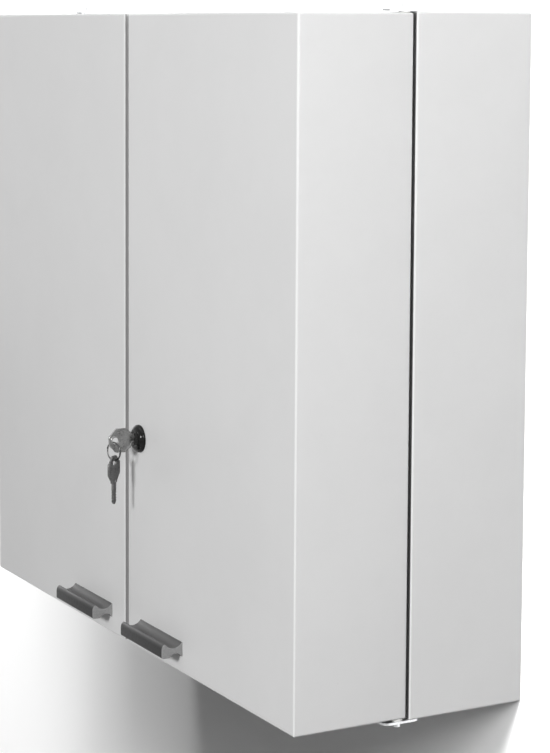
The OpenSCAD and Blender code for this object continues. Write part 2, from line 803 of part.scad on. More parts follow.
carcase();
back_panel();
shelf_upright(-1, upright_rear_y);  // shelf_upright_left_rear
shelf_upright(-1, upright_front_y);  // shelf_upright_left_front
shelf_upright(1, upright_rear_y);  // shelf_upright_right_rear
shelf_upright(1, upright_front_y);  // shelf_upright_right_front
shelf(0);  // shelf_lower
shelf(1);  // shelf_middle
shelf(2);  // shelf_upper
shelf_clips();
hinge_plate(-1, half_h);  // hinge_plate_top_left
hinge_plate(-1, -half_h - plate_t);  // hinge_plate_bottom_left
hinge_plate(1, half_h);  // hinge_plate_top_right
hinge_plate(1, -half_h - plate_t);  // hinge_plate_bottom_right
hinge_plate_rivets();
hinge_pin_top(-1);  // hinge_pin_top_left
hinge_pin_bottom(-1);  // hinge_pin_bottom_left
hinge_pin_top(1);  // hinge_pin_top_right
hinge_pin_bottom(1);  // hinge_pin_bottom_right
door_buffers();
magnet_catch(-1);  // magnet_catch_left
magnet_catch(1);  // magnet_catch_right
catch_poles();
catch_screws();
door_shell(-1);  // left_door_shell
door_brackets(-1);  // left_door_brackets
door_bushes(-1);  // left_door_bushes
door_tray(-1, 0);  // left_door_tray_lower
door_tray(-1, 1);  // left_door_tray_middle
door_tray(-1, 2);  // left_door_tray_upper
door_guard_rods(-1);  // left_door_guard_rods
handle(-1);  // left_handle
handle_screws(-1);  // left_handle_screws
strike_plate(-1);  // left_strike_plate
lock_keeper();
door_shell(1);  // right_door_shell
door_brackets(1);  // right_door_brackets
door_bushes(1);  // right_door_bushes
door_tray(1, 0);  // right_door_tray_lower
door_tray(1, 1);  // right_door_tray_middle
door_tray(1, 2);  // right_door_tray_upper
door_guard_rods(1);  // right_door_guard_rods
handle(1);  // right_handle
handle_screws(1);  // right_handle_screws
strike_plate(1);  // right_strike_plate
lock_housing();
lock_nut();
lock_plug();
lock_wafers();
wafer_springs();
lock_cam();
cam_screw();
key_in_lock();
key_ring();
spare_key();
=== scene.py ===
"""Finishes and fine pieces of a wall-mounted, lockable medicine cabinet with two steel doors."""

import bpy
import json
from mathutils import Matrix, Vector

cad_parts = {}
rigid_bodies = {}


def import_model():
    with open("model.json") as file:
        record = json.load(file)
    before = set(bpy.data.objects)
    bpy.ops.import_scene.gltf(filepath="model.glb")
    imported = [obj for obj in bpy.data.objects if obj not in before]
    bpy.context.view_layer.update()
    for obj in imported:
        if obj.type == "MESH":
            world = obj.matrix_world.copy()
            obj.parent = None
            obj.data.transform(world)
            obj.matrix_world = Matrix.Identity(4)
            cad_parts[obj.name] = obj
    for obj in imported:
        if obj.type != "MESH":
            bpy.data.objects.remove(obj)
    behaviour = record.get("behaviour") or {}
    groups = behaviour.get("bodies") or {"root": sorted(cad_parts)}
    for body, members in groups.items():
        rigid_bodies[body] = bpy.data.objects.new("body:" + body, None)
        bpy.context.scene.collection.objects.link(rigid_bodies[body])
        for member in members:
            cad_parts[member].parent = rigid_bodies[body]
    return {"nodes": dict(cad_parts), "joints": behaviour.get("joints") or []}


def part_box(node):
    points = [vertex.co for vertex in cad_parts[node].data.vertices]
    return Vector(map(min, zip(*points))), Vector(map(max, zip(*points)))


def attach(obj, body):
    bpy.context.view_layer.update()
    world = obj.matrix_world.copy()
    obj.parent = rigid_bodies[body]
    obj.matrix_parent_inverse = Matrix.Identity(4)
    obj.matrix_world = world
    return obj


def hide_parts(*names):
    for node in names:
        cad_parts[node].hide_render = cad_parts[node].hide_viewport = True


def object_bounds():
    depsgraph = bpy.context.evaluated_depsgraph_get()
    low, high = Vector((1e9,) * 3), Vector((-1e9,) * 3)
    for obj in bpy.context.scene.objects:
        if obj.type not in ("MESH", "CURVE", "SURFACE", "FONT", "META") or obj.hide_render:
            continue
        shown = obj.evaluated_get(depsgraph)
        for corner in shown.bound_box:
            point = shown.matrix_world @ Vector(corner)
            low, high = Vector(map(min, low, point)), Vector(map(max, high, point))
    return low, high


bl_info = {
    "name": "Lockable Medicine Cabinet",
    "version": (1, 0, 0),
    "blender": (4, 5, 0),
    "location": "View3D > Sidebar > Cabinet",
    "description": "Dresses a two-door steel medicine cabinet and sets up its stage",
    "category": "Add Mesh",
}

import json
from math import cos, pi, radians, sin

import bmesh
import bpy
import numpy as np
from bpy.props import FloatProperty, FloatVectorProperty, IntProperty, PointerProperty
from bpy.types import Operator, Panel, PropertyGroup
from mathutils import Matrix, Vector

MM = 0.001
WELD = 1e-6  # points nearer than this are merged
SMOOTH_LIMIT = radians(35)  # folds sharper than this stay sharp
NOISE_RANGE = 0.3, 0.7  # where nearly all values of a noise lie

for leftover in list(bpy.data.objects):
    bpy.data.objects.remove(leftover)
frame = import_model()
CAD_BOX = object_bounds()


# ---- sizes read from the frame ----


def low(node):
    """The lowest corner of a CAD node."""
    return np.array(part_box(node)[0])


def high(node):
    """The highest corner of a CAD node."""
    return np.array(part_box(node)[1])


def middle(node):
    """The middle of a CAD node's box."""
    return (low(node) + high(node)) / 2


def joint(name):
    """The frame's entry for a joint."""
    return next(entry for entry in frame["joints"] if entry["name"] == name)


DOOR_FRONT = float(low("right_door_shell")[1])  # y of the doors' fronts
MEETING_X = float(low("right_door_shell")[0])  # x of the right door's edge beside the left door
BODY_SIDE = float(high("carcase")[0])  # x of the body's right side
FLANGE_FRONT = float(low("carcase")[1])  # y of the body's front flange
LOCK_AXIS = np.array(joint("lock_turn")["pos_m"])  # a point on the axis that the plug turns on
RING_RADIUS = float((high("key_ring")[2] - low("key_ring")[2]) / 2)


# ---- what a user would change ----


def length_setting(name, description, millimetres):
    """A length setting, with its default given in millimetres."""
    return FloatProperty(name=name, description=description, default=millimetres * MM,
                         min=0, unit="LENGTH")


def colour_setting(name, description, red, green, blue):
    """A colour setting."""
    return FloatVectorProperty(name=name, description=description, subtype="COLOR", size=4,
                               min=0, max=1, default=(red, green, blue, 1))


class PaintSettings(PropertyGroup):
    """Powder coat on the folded sheet."""

    colour: colour_setting("Colour", "Colour of the powder coat", 0.775, 0.775, 0.775)
    # Painted highlight: the coat's colour along the folds, lighter than the flat sheet.
    fold_highlight_colour: colour_setting(
        "Fold colour", "Colour where the coat catches light on a fold", 0.84, 0.84, 0.84)
    fold: length_setting("Fold", "Radius within which a fold catches light", 2.2)
    roughness: FloatProperty(
        name="Roughness", description="Roughness of the cured coat", default=0.42, min=0, max=1)
    peel: length_setting("Peel size", "Width of one bump of the coat's orange peel", 2.4)
    # Painted shade where the doors meet: a darker colour on the meeting edges, to a set depth.
    gap_shade_colour: colour_setting(
        "Trim colour", "Colour of the edges where the doors meet", 0.55, 0.55, 0.55)
    gap_shade: length_setting("Trim", "Depth of the darker edge where the doors meet", 14)
    # Painted shade: a dark strip on the body's front flange, in the gap behind the doors' hinge sides.
    shade_strip_colour: colour_setting(
        "Strip colour", "Colour of the strip behind the doors' hinge sides", 0.19, 0.19, 0.19)
    strip: length_setting("Strip", "Width of that strip on the body's front flange", 6.5)
    speck_colour: colour_setting(
        "Speck colour", "Colour of the dust under the coat", 0.35, 0.35, 0.34)


class HandleSettings(PropertyGroup):
    """Pull grips of the two doors."""

    wall: length_setting("Flange", "Thickness of the section's rear flange", 0.8)
    lip: length_setting("Lip", "Thickness of the lip that the fingers hold", 4)
    lip_fall: length_setting(
        "Lip fall", "Height over which the lip's top rounds down to its front", 5.5)
    scoop: length_setting("Scoop", "Depth of the finger scoop along the top", 4.4)
    arch: length_setting("Arch", "Depth of the arch along the underside", 3.5)
    arch_width: length_setting("Arch width", "Width of the arch along the underside", 12.2)
    end_round: length_setting("End rounding", "Radius along the sawn ends", 0.4)
    colour: colour_setting("Colour", "Colour of the grips", 0.014, 0.014, 0.0144)
    # Painted light: the colour of what faces up on the grips.
    top_light_colour: colour_setting(
        "Dust colour", "Colour of what faces up, dulled by dust and fingers", 0.10, 0.10, 0.10)
    # Much lighter than the grip: partly the cut face, partly painted light.
    end_colour: colour_setting("End colour", "Colour of the sawn ends", 0.27, 0.27, 0.27)


class LockSettings(PropertyGroup):
    """Rosette and barrel of the cam lock."""

    rim: length_setting("Rim", "Height of the rosette's straight rim", 0.9)
    face: length_setting("Face", "Radius of the flat face round the plug", 7.5)
    seat: length_setting("Seat", "Radius of the seat of the plug's head", 6.25)
    seat_depth: length_setting("Seat depth", "Depth of that seat", 0.85)
    bore: length_setting("Bore", "Radius of the bore for the plug", 5.55)
    barrel: length_setting("Barrel", "Radius of the threaded barrel", 9)
    pitch: length_setting("Pitch", "Pitch of the barrel's thread", 1.0)
    thread: length_setting("Thread depth", "Depth of the barrel's thread", 0.45)
    flat: length_setting("Flats", "Depth of the barrel's two flats", 0.9)
    steps: IntProperty(
        name="Steps", description="Steps round the rosette", default=144, min=24, max=360)


class KeySettings(PropertyGroup):
    """The two flat keys."""

    thickness: length_setting("Thickness", "Thickness of the keys", 2)
    hole: length_setting("Hole", "Radius of the hole in the head", 3.2)
    hole_at: length_setting("Hole place", "Distance of the hole from the shoulder", 19)
    neck: length_setting("Neck", "Half height of the head where it leaves the blade", 5.2)
    flank: length_setting("Flank", "Distance from the shoulder to the head's full height", 8)
    blade: length_setting("Blade length", "Length of the blade", 20)
    blade_height: length_setting("Blade height", "Height of the blade", 6.6)
    edge: length_setting("Edge", "Width of the tumbled edge", 0.25)
    rim: length_setting("Rim", "Width of the raised rim round the head", 1.7)
    recess: length_setting("Recess", "Depth of the stamped panel in the head", 0.3)
    groove: length_setting("Groove", "Depth of the milled groove in the blade", 0.5)


class RingSettings(PropertyGroup):
    """The split ring that joins the keys."""

    half_width: length_setting(
        "Half width", "Half the width of the flattened wire along the ring's axis", 0.33)
    half_height: length_setting("Half height", "Half the height of the wire across the ring", 0.62)
    yaw: FloatProperty(
        name="Yaw", description="Turn of the ring's plane about the vertical",
        subtype="ANGLE", unit="ROTATION", default=radians(20))


class StageSettings(PropertyGroup):
    """Camera, lamps, wall and floor."""

    eye: FloatVectorProperty(
        name="Eye", description="Place of the camera", subtype="XYZ", unit="LENGTH",
        size=3, default=(1.8466, -1.0884, 0.2831))
    heading: FloatProperty(
        name="Heading", description="Turn of the view to the left of +Y",
        subtype="ANGLE", unit="ROTATION", default=radians(61.09))
    tilt: FloatProperty(
        name="Tilt", description="Tilt of the view above the horizon",
        subtype="ANGLE", unit="ROTATION", default=radians(-5.32))
    roll: FloatProperty(
        name="Roll", description="Roll of the camera",
        subtype="ANGLE", unit="ROTATION", default=radians(0.33))
    lens: FloatProperty(
        name="Lens", description="Focal length for a 36 mm long side", default=104.01, min=10)
    shift: FloatProperty(
        name="Shift", description="Vertical shift of the lens", default=-0.19)
    wall_colour: colour_setting("Wall", "Colour of the wall", 1, 1, 1)
    floor_drop: length_setting("Floor", "Depth of the floor under the cabinet", 1100)


# ---- meshes ----


def grid_faces(rows, cols, wrap_rows=False, wrap_cols=False):
    """Quads between each point (i, j) of a grid and its next row and column, wrapped where asked."""
    i = np.arange(rows if wrap_rows else rows - 1)
    j = np.arange(cols if wrap_cols else cols - 1)
    i, j = np.meshgrid(i, j, indexing="ij")
    i_next = (i + 1) % rows
    j_next = (j + 1) % cols
    corners = [i * cols + j, i_next * cols + j, i_next * cols + j_next, i * cols + j_next]
    return np.stack(corners, -1).reshape(-1, 4)


def build(name, points, faces, smooth, ends=()):
    """Makes an object from points and faces, merges doubles, turns faces out and shades it smooth
    up to that angle. The faces whose numbers are in ends take the second material."""
    mesh = bpy.data.meshes.new(name)
    mesh.from_pydata(np.asarray(points).reshape(-1, 3).tolist(), [], faces)
    if ends:
        slots = np.zeros(len(faces), np.int32)
        slots[ends] = 1
        mesh.polygons.foreach_set("material_index", slots)
    work = bmesh.new()
    work.from_mesh(mesh)
    bmesh.ops.remove_doubles(work, verts=work.verts, dist=WELD)
    bmesh.ops.recalc_face_normals(work, faces=work.faces)
    work.to_mesh(mesh)
    work.free()
    mesh.polygons.foreach_set("use_smooth", np.ones(len(mesh.polygons), bool))
    mesh.set_sharp_from_angle(angle=smooth)
    piece = bpy.data.objects.new(name, mesh)
    bpy.context.scene.collection.objects.link(piece)
    return piece


def settle(piece, body, slot, materials, *replaced):
    """Gives a new piece its materials and its body, and hides the nodes it stands for. The slot is not
    used.
    """
    for material in materials:
        piece.data.materials.append(material)
    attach(piece, body)
    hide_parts(*replaced)


def arc(centre, radius, start, end, steps):
    """Points at centre + radius * (cos a, sin a), with a from start to end in degrees."""
    a = np.radians(np.linspace(start, end, steps))
    return np.stack([centre[0] + radius * np.cos(a), centre[1] + radius * np.sin(a)], -1)


def inset(outline, depth):
    """A closed counter-clockwise outline moved inwards: each point goes along the mean of its two
    sides' inward normals, by depth over the cosine of half their turn, or less at a needle point."""
    needle = 0.4
    forward = np.roll(outline, -1, 0) - outline
    forward /= np.linalg.norm(forward, axis=1, keepdims=True)
    inward = np.stack([-forward[:, 1], forward[:, 0]], -1)
    before = np.roll(inward, 1, 0)
    mean = inward + before
    mean /= np.maximum(np.sum(mean * mean, 1, keepdims=True), needle) / 2
    return outline + depth * mean


def rounded(corners, cuts, steps):
    """An open path through corners, each inner corner cut back by its length in cuts and replaced
    by a quadratic curve that touches both sides."""
    path = [corners[0]]
    share = np.linspace(0, 1, steps)[:, None]
    for before, here, after, cut in zip(corners, corners[1:], corners[2:], cuts):
        start = here + cut * (before - here) / np.linalg.norm(before - here)
        end = here + cut * (after - here) / np.linalg.norm(after - here)
        path.extend((1 - share) ** 2 * start + 2 * share * (1 - share) * here + share**2 * end)
    path.append(corners[-1])
    return np.array(path)


# ---- nodes ----


def feed(tree, node, values):
    """Fills inputs of a node: a socket is linked to its input, and a plain value is written in."""
    for key, value in values.items():
        if isinstance(value, bpy.types.NodeSocket):
            tree.links.new(value, node.inputs[key])
        else:
            node.inputs[key].default_value = value
    return node


def add(tree, kind, values=None, **settings):
    """A new node: settings are its own properties, and values its inputs, each a value or a socket."""
    node = tree.nodes.new(kind)
    for key, value in settings.items():
        setattr(node, key, value)
    return feed(tree, node, values or {})


# ---- smooth shading of the CAD nodes ----


def fold_shading():
    """Geometry nodes that merge a node's loose triangles, drop the normals that came with them and
    shade the faces smooth, with edges sharper than the limit kept sharp."""
    name = "fold_shading"
    if name in bpy.data.node_groups:
        return bpy.data.node_groups[name]
    tree = bpy.data.node_groups.new(name, "GeometryNodeTree")
    tree.interface.new_socket("Geometry", in_out="INPUT", socket_type="NodeSocketGeometry")
    tree.interface.new_socket("Limit", in_out="INPUT", socket_type="NodeSocketFloat")
    tree.interface.new_socket("Geometry", in_out="OUTPUT", socket_type="NodeSocketGeometry")
    source = tree.nodes.new("NodeGroupInput").outputs
    merged = add(tree, "GeometryNodeMergeByDistance", {
        "Geometry": source["Geometry"], "Distance": WELD}).outputs["Geometry"]
    plain = add(tree, "GeometryNodeRemoveAttribute", {
        "Geometry": merged, "Name": "custom_normal"}).outputs["Geometry"]
    soft = add(tree, "GeometryNodeSetShadeSmooth", {"Geometry": plain}).outputs["Geometry"]
    angle = tree.nodes.new("GeometryNodeInputMeshEdgeAngle").outputs["Unsigned Angle"]
    sharp = add(tree, "FunctionNodeCompare", {0: angle, 1: source["Limit"]},
                operation="GREATER_THAN").outputs["Result"]
    hard = add(tree, "GeometryNodeSetShadeSmooth", {
        "Geometry": soft, "Selection": sharp, "Shade Smooth": False}, domain="EDGE")
    add(tree, "NodeGroupOutput", {"Geometry": hard.outputs["Geometry"]})
    return tree


def shade_node(node, limit):
    """Adds the shading nodes to a CAD node's object, with edges over limit (radians) kept sharp."""
    group = fold_shading()
    modifier = node.modifiers.new("fold_shading", "NODES")
    modifier.node_group = group
    socket = next(s for s in group.interface.items_tree if s.name == "Limit")
    modifier[socket.identifier] = float(limit)


def dress(names, material, edge=0.0):
    """Gives CAD nodes their material, smooth shading and, where edge is set, a rounded edge."""
    for name in names:
        node = frame["nodes"][name]
        for slot in node.material_slots:
            slot.material = material
        shade_node(node, pi if edge else SMOOTH_LIMIT)
        if edge:
            bevel = node.modifiers.new("edge", "BEVEL")
            bevel.width = edge
            bevel.segments = 3
            bevel.limit_method = "ANGLE"
            bevel.angle_limit = radians(40)
            bevel.harden_normals = True


# ---- shader nodes ----


def grey(level):
    """The grey colour of a level."""
    return (level, level, level, 1.0)


def brighter(colour, gain):
    """A colour multiplied by a gain, up to white."""
    return tuple(min(1.0, channel * gain) for channel in colour[:3]) + (1.0,)


def compute(tree, operation, a, b=0.0, clamp=False):
    """The output of a math node."""
    return add(tree, "ShaderNodeMath", {0: a, 1: b}, operation=operation, use_clamp=clamp).outputs[0]


def weighted(tree, first, second, share):
    """The sum of two values, the first times that share and the second times the rest of one."""
    return compute(tree, "ADD", compute(tree, "MULTIPLY", first, share),
                   compute(tree, "MULTIPLY", second, 1 - share))


def ramp(tree, value, low_in, high_in, low_out=0.0, high_out=1.0):
    """The value taken smoothly from the first range to the second."""
    node = add(tree, "ShaderNodeMapRange", {
        "Value": value, "From Min": low_in, "From Max": high_in,
        "To Min": low_out, "To Max": high_out}, interpolation_type="SMOOTHSTEP")
    return node.outputs["Result"]


def spread(tree, value, low_out, high_out):
    """A noise's value taken from its usual range to the given one."""
    return ramp(tree, value, *NOISE_RANGE, low_out, high_out)


def worn_gloss(tree, wear, amount, value, low_out, high_out):
    """A roughness that follows a noise's value from low to high, plus an amount where it's worn."""
    return compute(tree, "ADD", compute(tree, "MULTIPLY", wear, amount),
                   spread(tree, value, low_out, high_out))


def noise(tree, place, scale, detail, roughness, distortion=0.0):
    """The value of a noise texture at a place."""
    return add(tree, "ShaderNodeTexNoise", {
        "Vector": place, "Scale": scale, "Detail": detail, "Roughness": roughness,
        "Distortion": distortion}).outputs["Fac"]


def blend_colour(tree, share, first, second):
    """The output of a colour mix."""
    node = add(tree, "ShaderNodeMix", {0: share, 6: first, 7: second}, data_type="RGBA")
    return node.outputs[2]


def scaled_colour(tree, colour, share):
    """A colour multiplied by a value."""
    node = add(tree, "ShaderNodeVectorMath", {0: colour[:3], "Scale": share}, operation="SCALE")
    return node.outputs[0]


def place_effect(tree, name, values, outputs, draw):
    """The outputs of a node group that is placed in a material, with its inputs filled. The group
    is made at its first use: draw(tree, source) makes the nodes that lead from its inputs, and
    returns the socket for each output by its name."""
    group = bpy.data.node_groups.get(name)
    if group is None:
        group = bpy.data.node_groups.new(name, "ShaderNodeTree")
        for label, value in values.items():
            kind = "NodeSocketFloat" if isinstance(value, float) else "NodeSocketVector"
            group.interface.new_socket(label, in_out="INPUT", socket_type=kind)
        for label in outputs:
            group.interface.new_socket(label, in_out="OUTPUT", socket_type="NodeSocketFloat")
        source = group.nodes.new("NodeGroupInput").outputs
        add(group, "NodeGroupOutput", draw(group, source))
    return add(tree, "ShaderNodeGroup", values, node_tree=group).outputs


def coat_peel(tree, place, width):
    """Powder coat: (fine orange peel with bumps of that width, broad mottling, and sparse specks of
    dust under the coat)."""

    def draw(inner, source):
        spot = source["Vector"]
        per_metre = compute(inner, "DIVIDE", 1.0, source["Peel Size"])
        dust_and_top_light = add(inner, "ShaderNodeTexVoronoi", {
            "Vector": spot, "Scale": 70.0, "Randomness": 1.0}).outputs
        size = compute(inner, "MULTIPLY", dust_and_top_light["Color"], 0.035)
        return {"Peel": noise(inner, spot, per_metre, 1.5, 0.45),
                "Mottle": noise(inner, spot, 11.0, 4.0, 0.62),
                "Speck": compute(inner, "LESS_THAN", dust_and_top_light["Distance"], size)}

    names = "Peel", "Mottle", "Speck"
    coat = place_effect(tree, "coat_peel", {"Vector": place, "Peel Size": width}, names, draw)
    return [coat[name] for name in names]


def fold_light(tree, radius, gain):
    """Mask of edges and folds: one less the cosine between the true normal and the normal of the
    edge rounded to the given radius, raised by a gain."""

    def draw(inner, source):
        wide = add(inner, "ShaderNodeBevel", {"Radius": source["Radius"]}, samples=6)
        true = inner.nodes.new("ShaderNodeNewGeometry")
        dot = add(inner, "ShaderNodeVectorMath", {
            0: wide.outputs["Normal"], 1: true.outputs["Normal"]}, operation="DOT_PRODUCT")
        turn = compute(inner, "SUBTRACT", 1.0, dot.outputs["Value"])
        return {"Edge": compute(inner, "MULTIPLY", turn, source["Gain"], clamp=True)}

    values = {"Radius": radius, "Gain": gain}
    return place_effect(tree, "fold_light", values, ("Edge",), draw)["Edge"]


def drawn_lines(tree, place, stretch):
    """Fine lines along one axis, as drawing, rolling or brushing leaves them: noise stretched by
    the given scale for each axis, with a coarser layer over it."""

    def draw(inner, source):
        stretched = add(inner, "ShaderNodeVectorMath", {
            0: source["Vector"], 1: source["Stretch"]}, operation="MULTIPLY").outputs[0]
        fine = noise(inner, stretched, 1.0, 3.0, 0.6)
        coarse = noise(inner, stretched, 0.22, 2.0, 0.5)
        return {"Lines": weighted(inner, fine, coarse, 0.65)}

    values = {"Vector": place, "Stretch": stretch}
    return place_effect(tree, "drawn_lines", values, ("Lines",), draw)["Lines"]


def cast_grain(tree, place, scale):
    """Grain of sawn or moulded surfaces: two sizes of noise, as a height and as light and dark."""

    def draw(inner, source):
        fine = noise(inner, source["Vector"], source["Scale"], 3.0, 0.65)
        third = compute(inner, "MULTIPLY", source["Scale"], 0.3)
        broad = noise(inner, source["Vector"], third, 2.0, 0.5)
        return {"Grain": weighted(inner, fine, broad, 0.6)}

    values = {"Vector": place, "Scale": scale}
    return place_effect(tree, "cast_grain", values, ("Grain",), draw)["Grain"]


def handling(tree, place, scale):
    """Faint smears left by hands and cloths: warped noise, thinned to a few patches."""

    def draw(inner, source):
        patches = noise(inner, source["Vector"], source["Scale"], 5.0, 0.7, distortion=0.8)
        return {"Smear": ramp(inner, patches, 0.5, 0.72)}

    values = {"Vector": place, "Scale": scale}
    return place_effect(tree, "handling", values, ("Smear",), draw)["Smear"]


# ---- finishes ----


PLATE_LINES = (900.0, 900.0, 70.0)  # scale of drawn lines on each axis
STAMPED_LINES = (500.0, 500.0, 900.0)


def start_material(name):
    """A material with a Principled shader: (material, its tree, the shader, object coordinates)."""
    material = bpy.data.materials.new(name)
    material.use_nodes = True
    tree = material.node_tree
    shader = tree.nodes["Principled BSDF"]
    place = tree.nodes.new("ShaderNodeTexCoord").outputs["Object"]
    return material, tree, shader, place


def bump(tree, shader, height, strength, distance, after=None):
    """Adds a bump of that height and distance (metres) to a shader, after an earlier one."""
    values = {"Height": height, "Strength": strength, "Distance": distance}
    if after is not None:
        values["Normal"] = after
    normal = add(tree, "ShaderNodeBump", values).outputs["Normal"]
    feed(tree, shader, {"Normal": normal})
    return normal


def powder_coat():
    """Light-grey satin powder coat on folded sheet, with a painted highlight along the folds. Painted
    shade darkens the edges where the doors meet, and a strip along the sides of the body's front
    flange."""
    settings = bpy.context.scene.cabinet_paint
    material, tree, shader, place = start_material("powder_coat")
    peel, mottle, speck = coat_peel(tree, place, settings.peel)
    folds = fold_light(tree, settings.fold, 9.0)
    smear = handling(tree, place, 14.0)
    base = scaled_colour(tree, settings.colour, spread(tree, mottle, 0.985, 1.012))
    # Painted highlight along the folds.
    base = blend_colour(tree, folds, base, tuple(settings.fold_highlight_colour))
    spot = add(tree, "ShaderNodeSeparateXYZ", {0: place}).outputs
    aside, depth = compute(tree, "ABSOLUTE", spot["X"]), spot["Y"]
    # Painted shade in the gap where the doors meet, darker still on the front fold.
    at_gap = ramp(tree, aside, MEETING_X + 0.7 * MM, MEETING_X + 0.4 * MM)
    gap_shade_end = DOOR_FRONT + settings.gap_shade
    gap_shade = compute(tree, "MULTIPLY", at_gap, ramp(tree, depth, gap_shade_end, gap_shade_end - MM))
    fold_shade_scale = ramp(tree, depth, DOOR_FRONT + 1.5 * MM, DOOR_FRONT + 3 * MM, 0.6, 1.0)
    base = blend_colour(tree, gap_shade, base, scaled_colour(tree, settings.gap_shade_colour, fold_shade_scale))
    # Painted shade on the outer part of the body's front flange, seen in the gap beside the doors.
    on_flange = compute(
        tree, "MULTIPLY", ramp(tree, depth, FLANGE_FRONT + 0.3 * MM, FLANGE_FRONT + 0.15 * MM),
        ramp(tree, depth, FLANGE_FRONT - 1.5 * MM, FLANGE_FRONT - MM))
    shade_strip_start = BODY_SIDE - settings.strip
    outer = ramp(tree, aside, shade_strip_start - 0.2 * MM, shade_strip_start + 0.2 * MM)
    strip = compute(tree, "MULTIPLY", on_flange, outer)
    base = blend_colour(tree, strip, base, tuple(settings.shade_strip_colour))
    dusty = compute(tree, "MULTIPLY", speck, 0.16)
    feed(tree, shader, {
        "Base Color": blend_colour(tree, dusty, base, tuple(settings.speck_colour)),
        "Roughness": worn_gloss(tree, smear, 0.07, mottle, settings.roughness - 0.03,
                                settings.roughness + 0.03),
        "Specular IOR Level": 0.36})
    bump(tree, shader, peel, 0.25, 0.06 * MM)
    return material


def metal(name, colour, roughness, stretch, line_depth=0.01 * MM, edge_gain=5.0, dark=0.8):
    """Plated or bare metal with drawn lines, smears and edges rubbed brighter."""
    material, tree, shader, place = start_material(name)
    lines = drawn_lines(tree, place, stretch)
    folds = fold_light(tree, 0.3 * MM, edge_gain)
    smear = handling(tree, place, 160.0)
    base = scaled_colour(tree, colour, spread(tree, lines, dark, 1.0))
    feed(tree, shader, {
        "Base Color": blend_colour(tree, folds, base, brighter(colour, 1.35)),
        "Roughness": worn_gloss(tree, smear, 0.14, lines, roughness - 0.05, roughness + 0.06),
        "Metallic": 1.0})
    bump(tree, shader, lines, 0.4, line_depth)
    return material


def moulded(name, colour, roughness, grain_scale=900.0, depth=0.02 * MM, specular=0.4):
    """Moulded plastic or rubber with a fine grain and faint wear."""
    material, tree, shader, place = start_material(name)
    grain = cast_grain(tree, place, grain_scale)
    smear = handling(tree, place, 60.0)
    feed(tree, shader, {
        "Base Color": scaled_colour(tree, colour, spread(tree, grain, 0.9, 1.08)),
        "Roughness": worn_gloss(tree, smear, 0.1, grain, roughness - 0.04, roughness + 0.05),
        "Specular IOR Level": specular})
    bump(tree, shader, grain, 0.35, depth)
    return material


def grip_skin():
    """Anthracite grip: faint lines along the section from the die, rubbed edges coloured lighter with
    a painted highlight, and painted light, patchy with the grain, on what faces up."""
    settings = bpy.context.scene.cabinet_handles
    material, tree, shader, place = start_material("grip_skin")
    lines = drawn_lines(tree, place, (18.0, 1500.0, 1500.0))
    grain = cast_grain(tree, place, 1100.0)
    folds = fold_light(tree, 1.2 * MM, 2.5)
    base = scaled_colour(tree, settings.colour, spread(tree, lines, 0.88, 1.12))
    # Edges coloured lighter: rubbed wear, with a painted highlight.
    base = blend_colour(tree, folds, base, brighter(settings.colour, 3.2))
    # Painted light: what faces up is coloured lighter, patchy with the grain.
    normal = tree.nodes.new("ShaderNodeNewGeometry").outputs["Normal"]
    upward = add(tree, "ShaderNodeSeparateXYZ", {0: normal}).outputs["Z"]
    dust_and_top_light = compute(tree, "MULTIPLY", ramp(tree, upward, 0.1, 0.85), spread(tree, grain, 0.75, 1.0))
    feed(tree, shader, {
        "Base Color": blend_colour(tree, dust_and_top_light, base, tuple(settings.top_light_colour)),
        "Roughness": spread(tree, grain, 0.36, 0.5),
        "Specular IOR Level": 0.3})
    first = bump(tree, shader, lines, 0.3, 0.02 * MM)
    bump(tree, shader, grain, 0.25, 0.015 * MM, first)
    return material


def grip_cut():
    """The sawn ends of the grips: matt and grainy, and much lighter than the grip, partly as a cut
    face and partly as painted light.
    """
    settings = bpy.context.scene.cabinet_handles
    material, tree, shader, place = start_material("grip_cut")
    grain = cast_grain(tree, place, 1400.0)
    saw = drawn_lines(tree, place, (200.0, 300.0, 2600.0))
    both = weighted(tree, grain, saw, 0.6)
    cut_range = 0.35, 0.65
    shade = ramp(tree, both, *cut_range, 0.82, 1.14)
    feed(tree, shader, {
        "Base Color": scaled_colour(tree, settings.end_colour, shade),
        "Roughness": ramp(tree, both, *cut_range, 0.5, 0.66),
        "Specular IOR Level": 0.35})
    bump(tree, shader, both, 0.5, 0.04 * MM)
    return material


def black_lacquer():
    """Glossy black lacquer of the rosette, with a few hairline scratches."""
    material, tree, shader, place = start_material("black_lacquer")
    centred = add(tree, "ShaderNodeVectorMath", {0: place, 1: tuple(LOCK_AXIS)}, operation="SUBTRACT")
    lines = drawn_lines(tree, centred.outputs[0], (500.0, 60.0, 120.0))
    grain = cast_grain(tree, place, 260.0)
    scratch = ramp(tree, lines, 0.62, 0.7)
    pale = compute(tree, "MULTIPLY", scratch, 0.25)
    feed(tree, shader, {
        "Base Color": blend_colour(tree, pale, grey(0.006), grey(0.03)),
        "Roughness": worn_gloss(tree, scratch, 0.1, grain, 0.09, 0.13),
        "Specular IOR Level": 0.18})
    bump(tree, shader, grain, 0.08, 0.02 * MM)
    return material


def plug_face(colour):
    """Nickel plug of the lock, whose front end is coloured near black: the metal begins behind the
    door's front face."""
    material, tree, shader, place = start_material("plug_face")
    lines = drawn_lines(tree, place, PLATE_LINES)
    depth = add(tree, "ShaderNodeSeparateXYZ", {0: place}).outputs["Y"]
    bare = ramp(tree, depth, DOOR_FRONT - 0.4 * MM, DOOR_FRONT)
    nickel = scaled_colour(tree, colour, spread(tree, lines, 0.8, 1.0))
    feed(tree, shader, {
        "Base Color": blend_colour(tree, bare, grey(0.008), nickel),
        "Metallic": bare,
        "Roughness": spread(tree, lines, 0.16, 0.28),
        "Specular IOR Level": 0.2})
    bump(tree, shader, lines, 0.4, 0.006 * MM)
    return material


MADE = {}


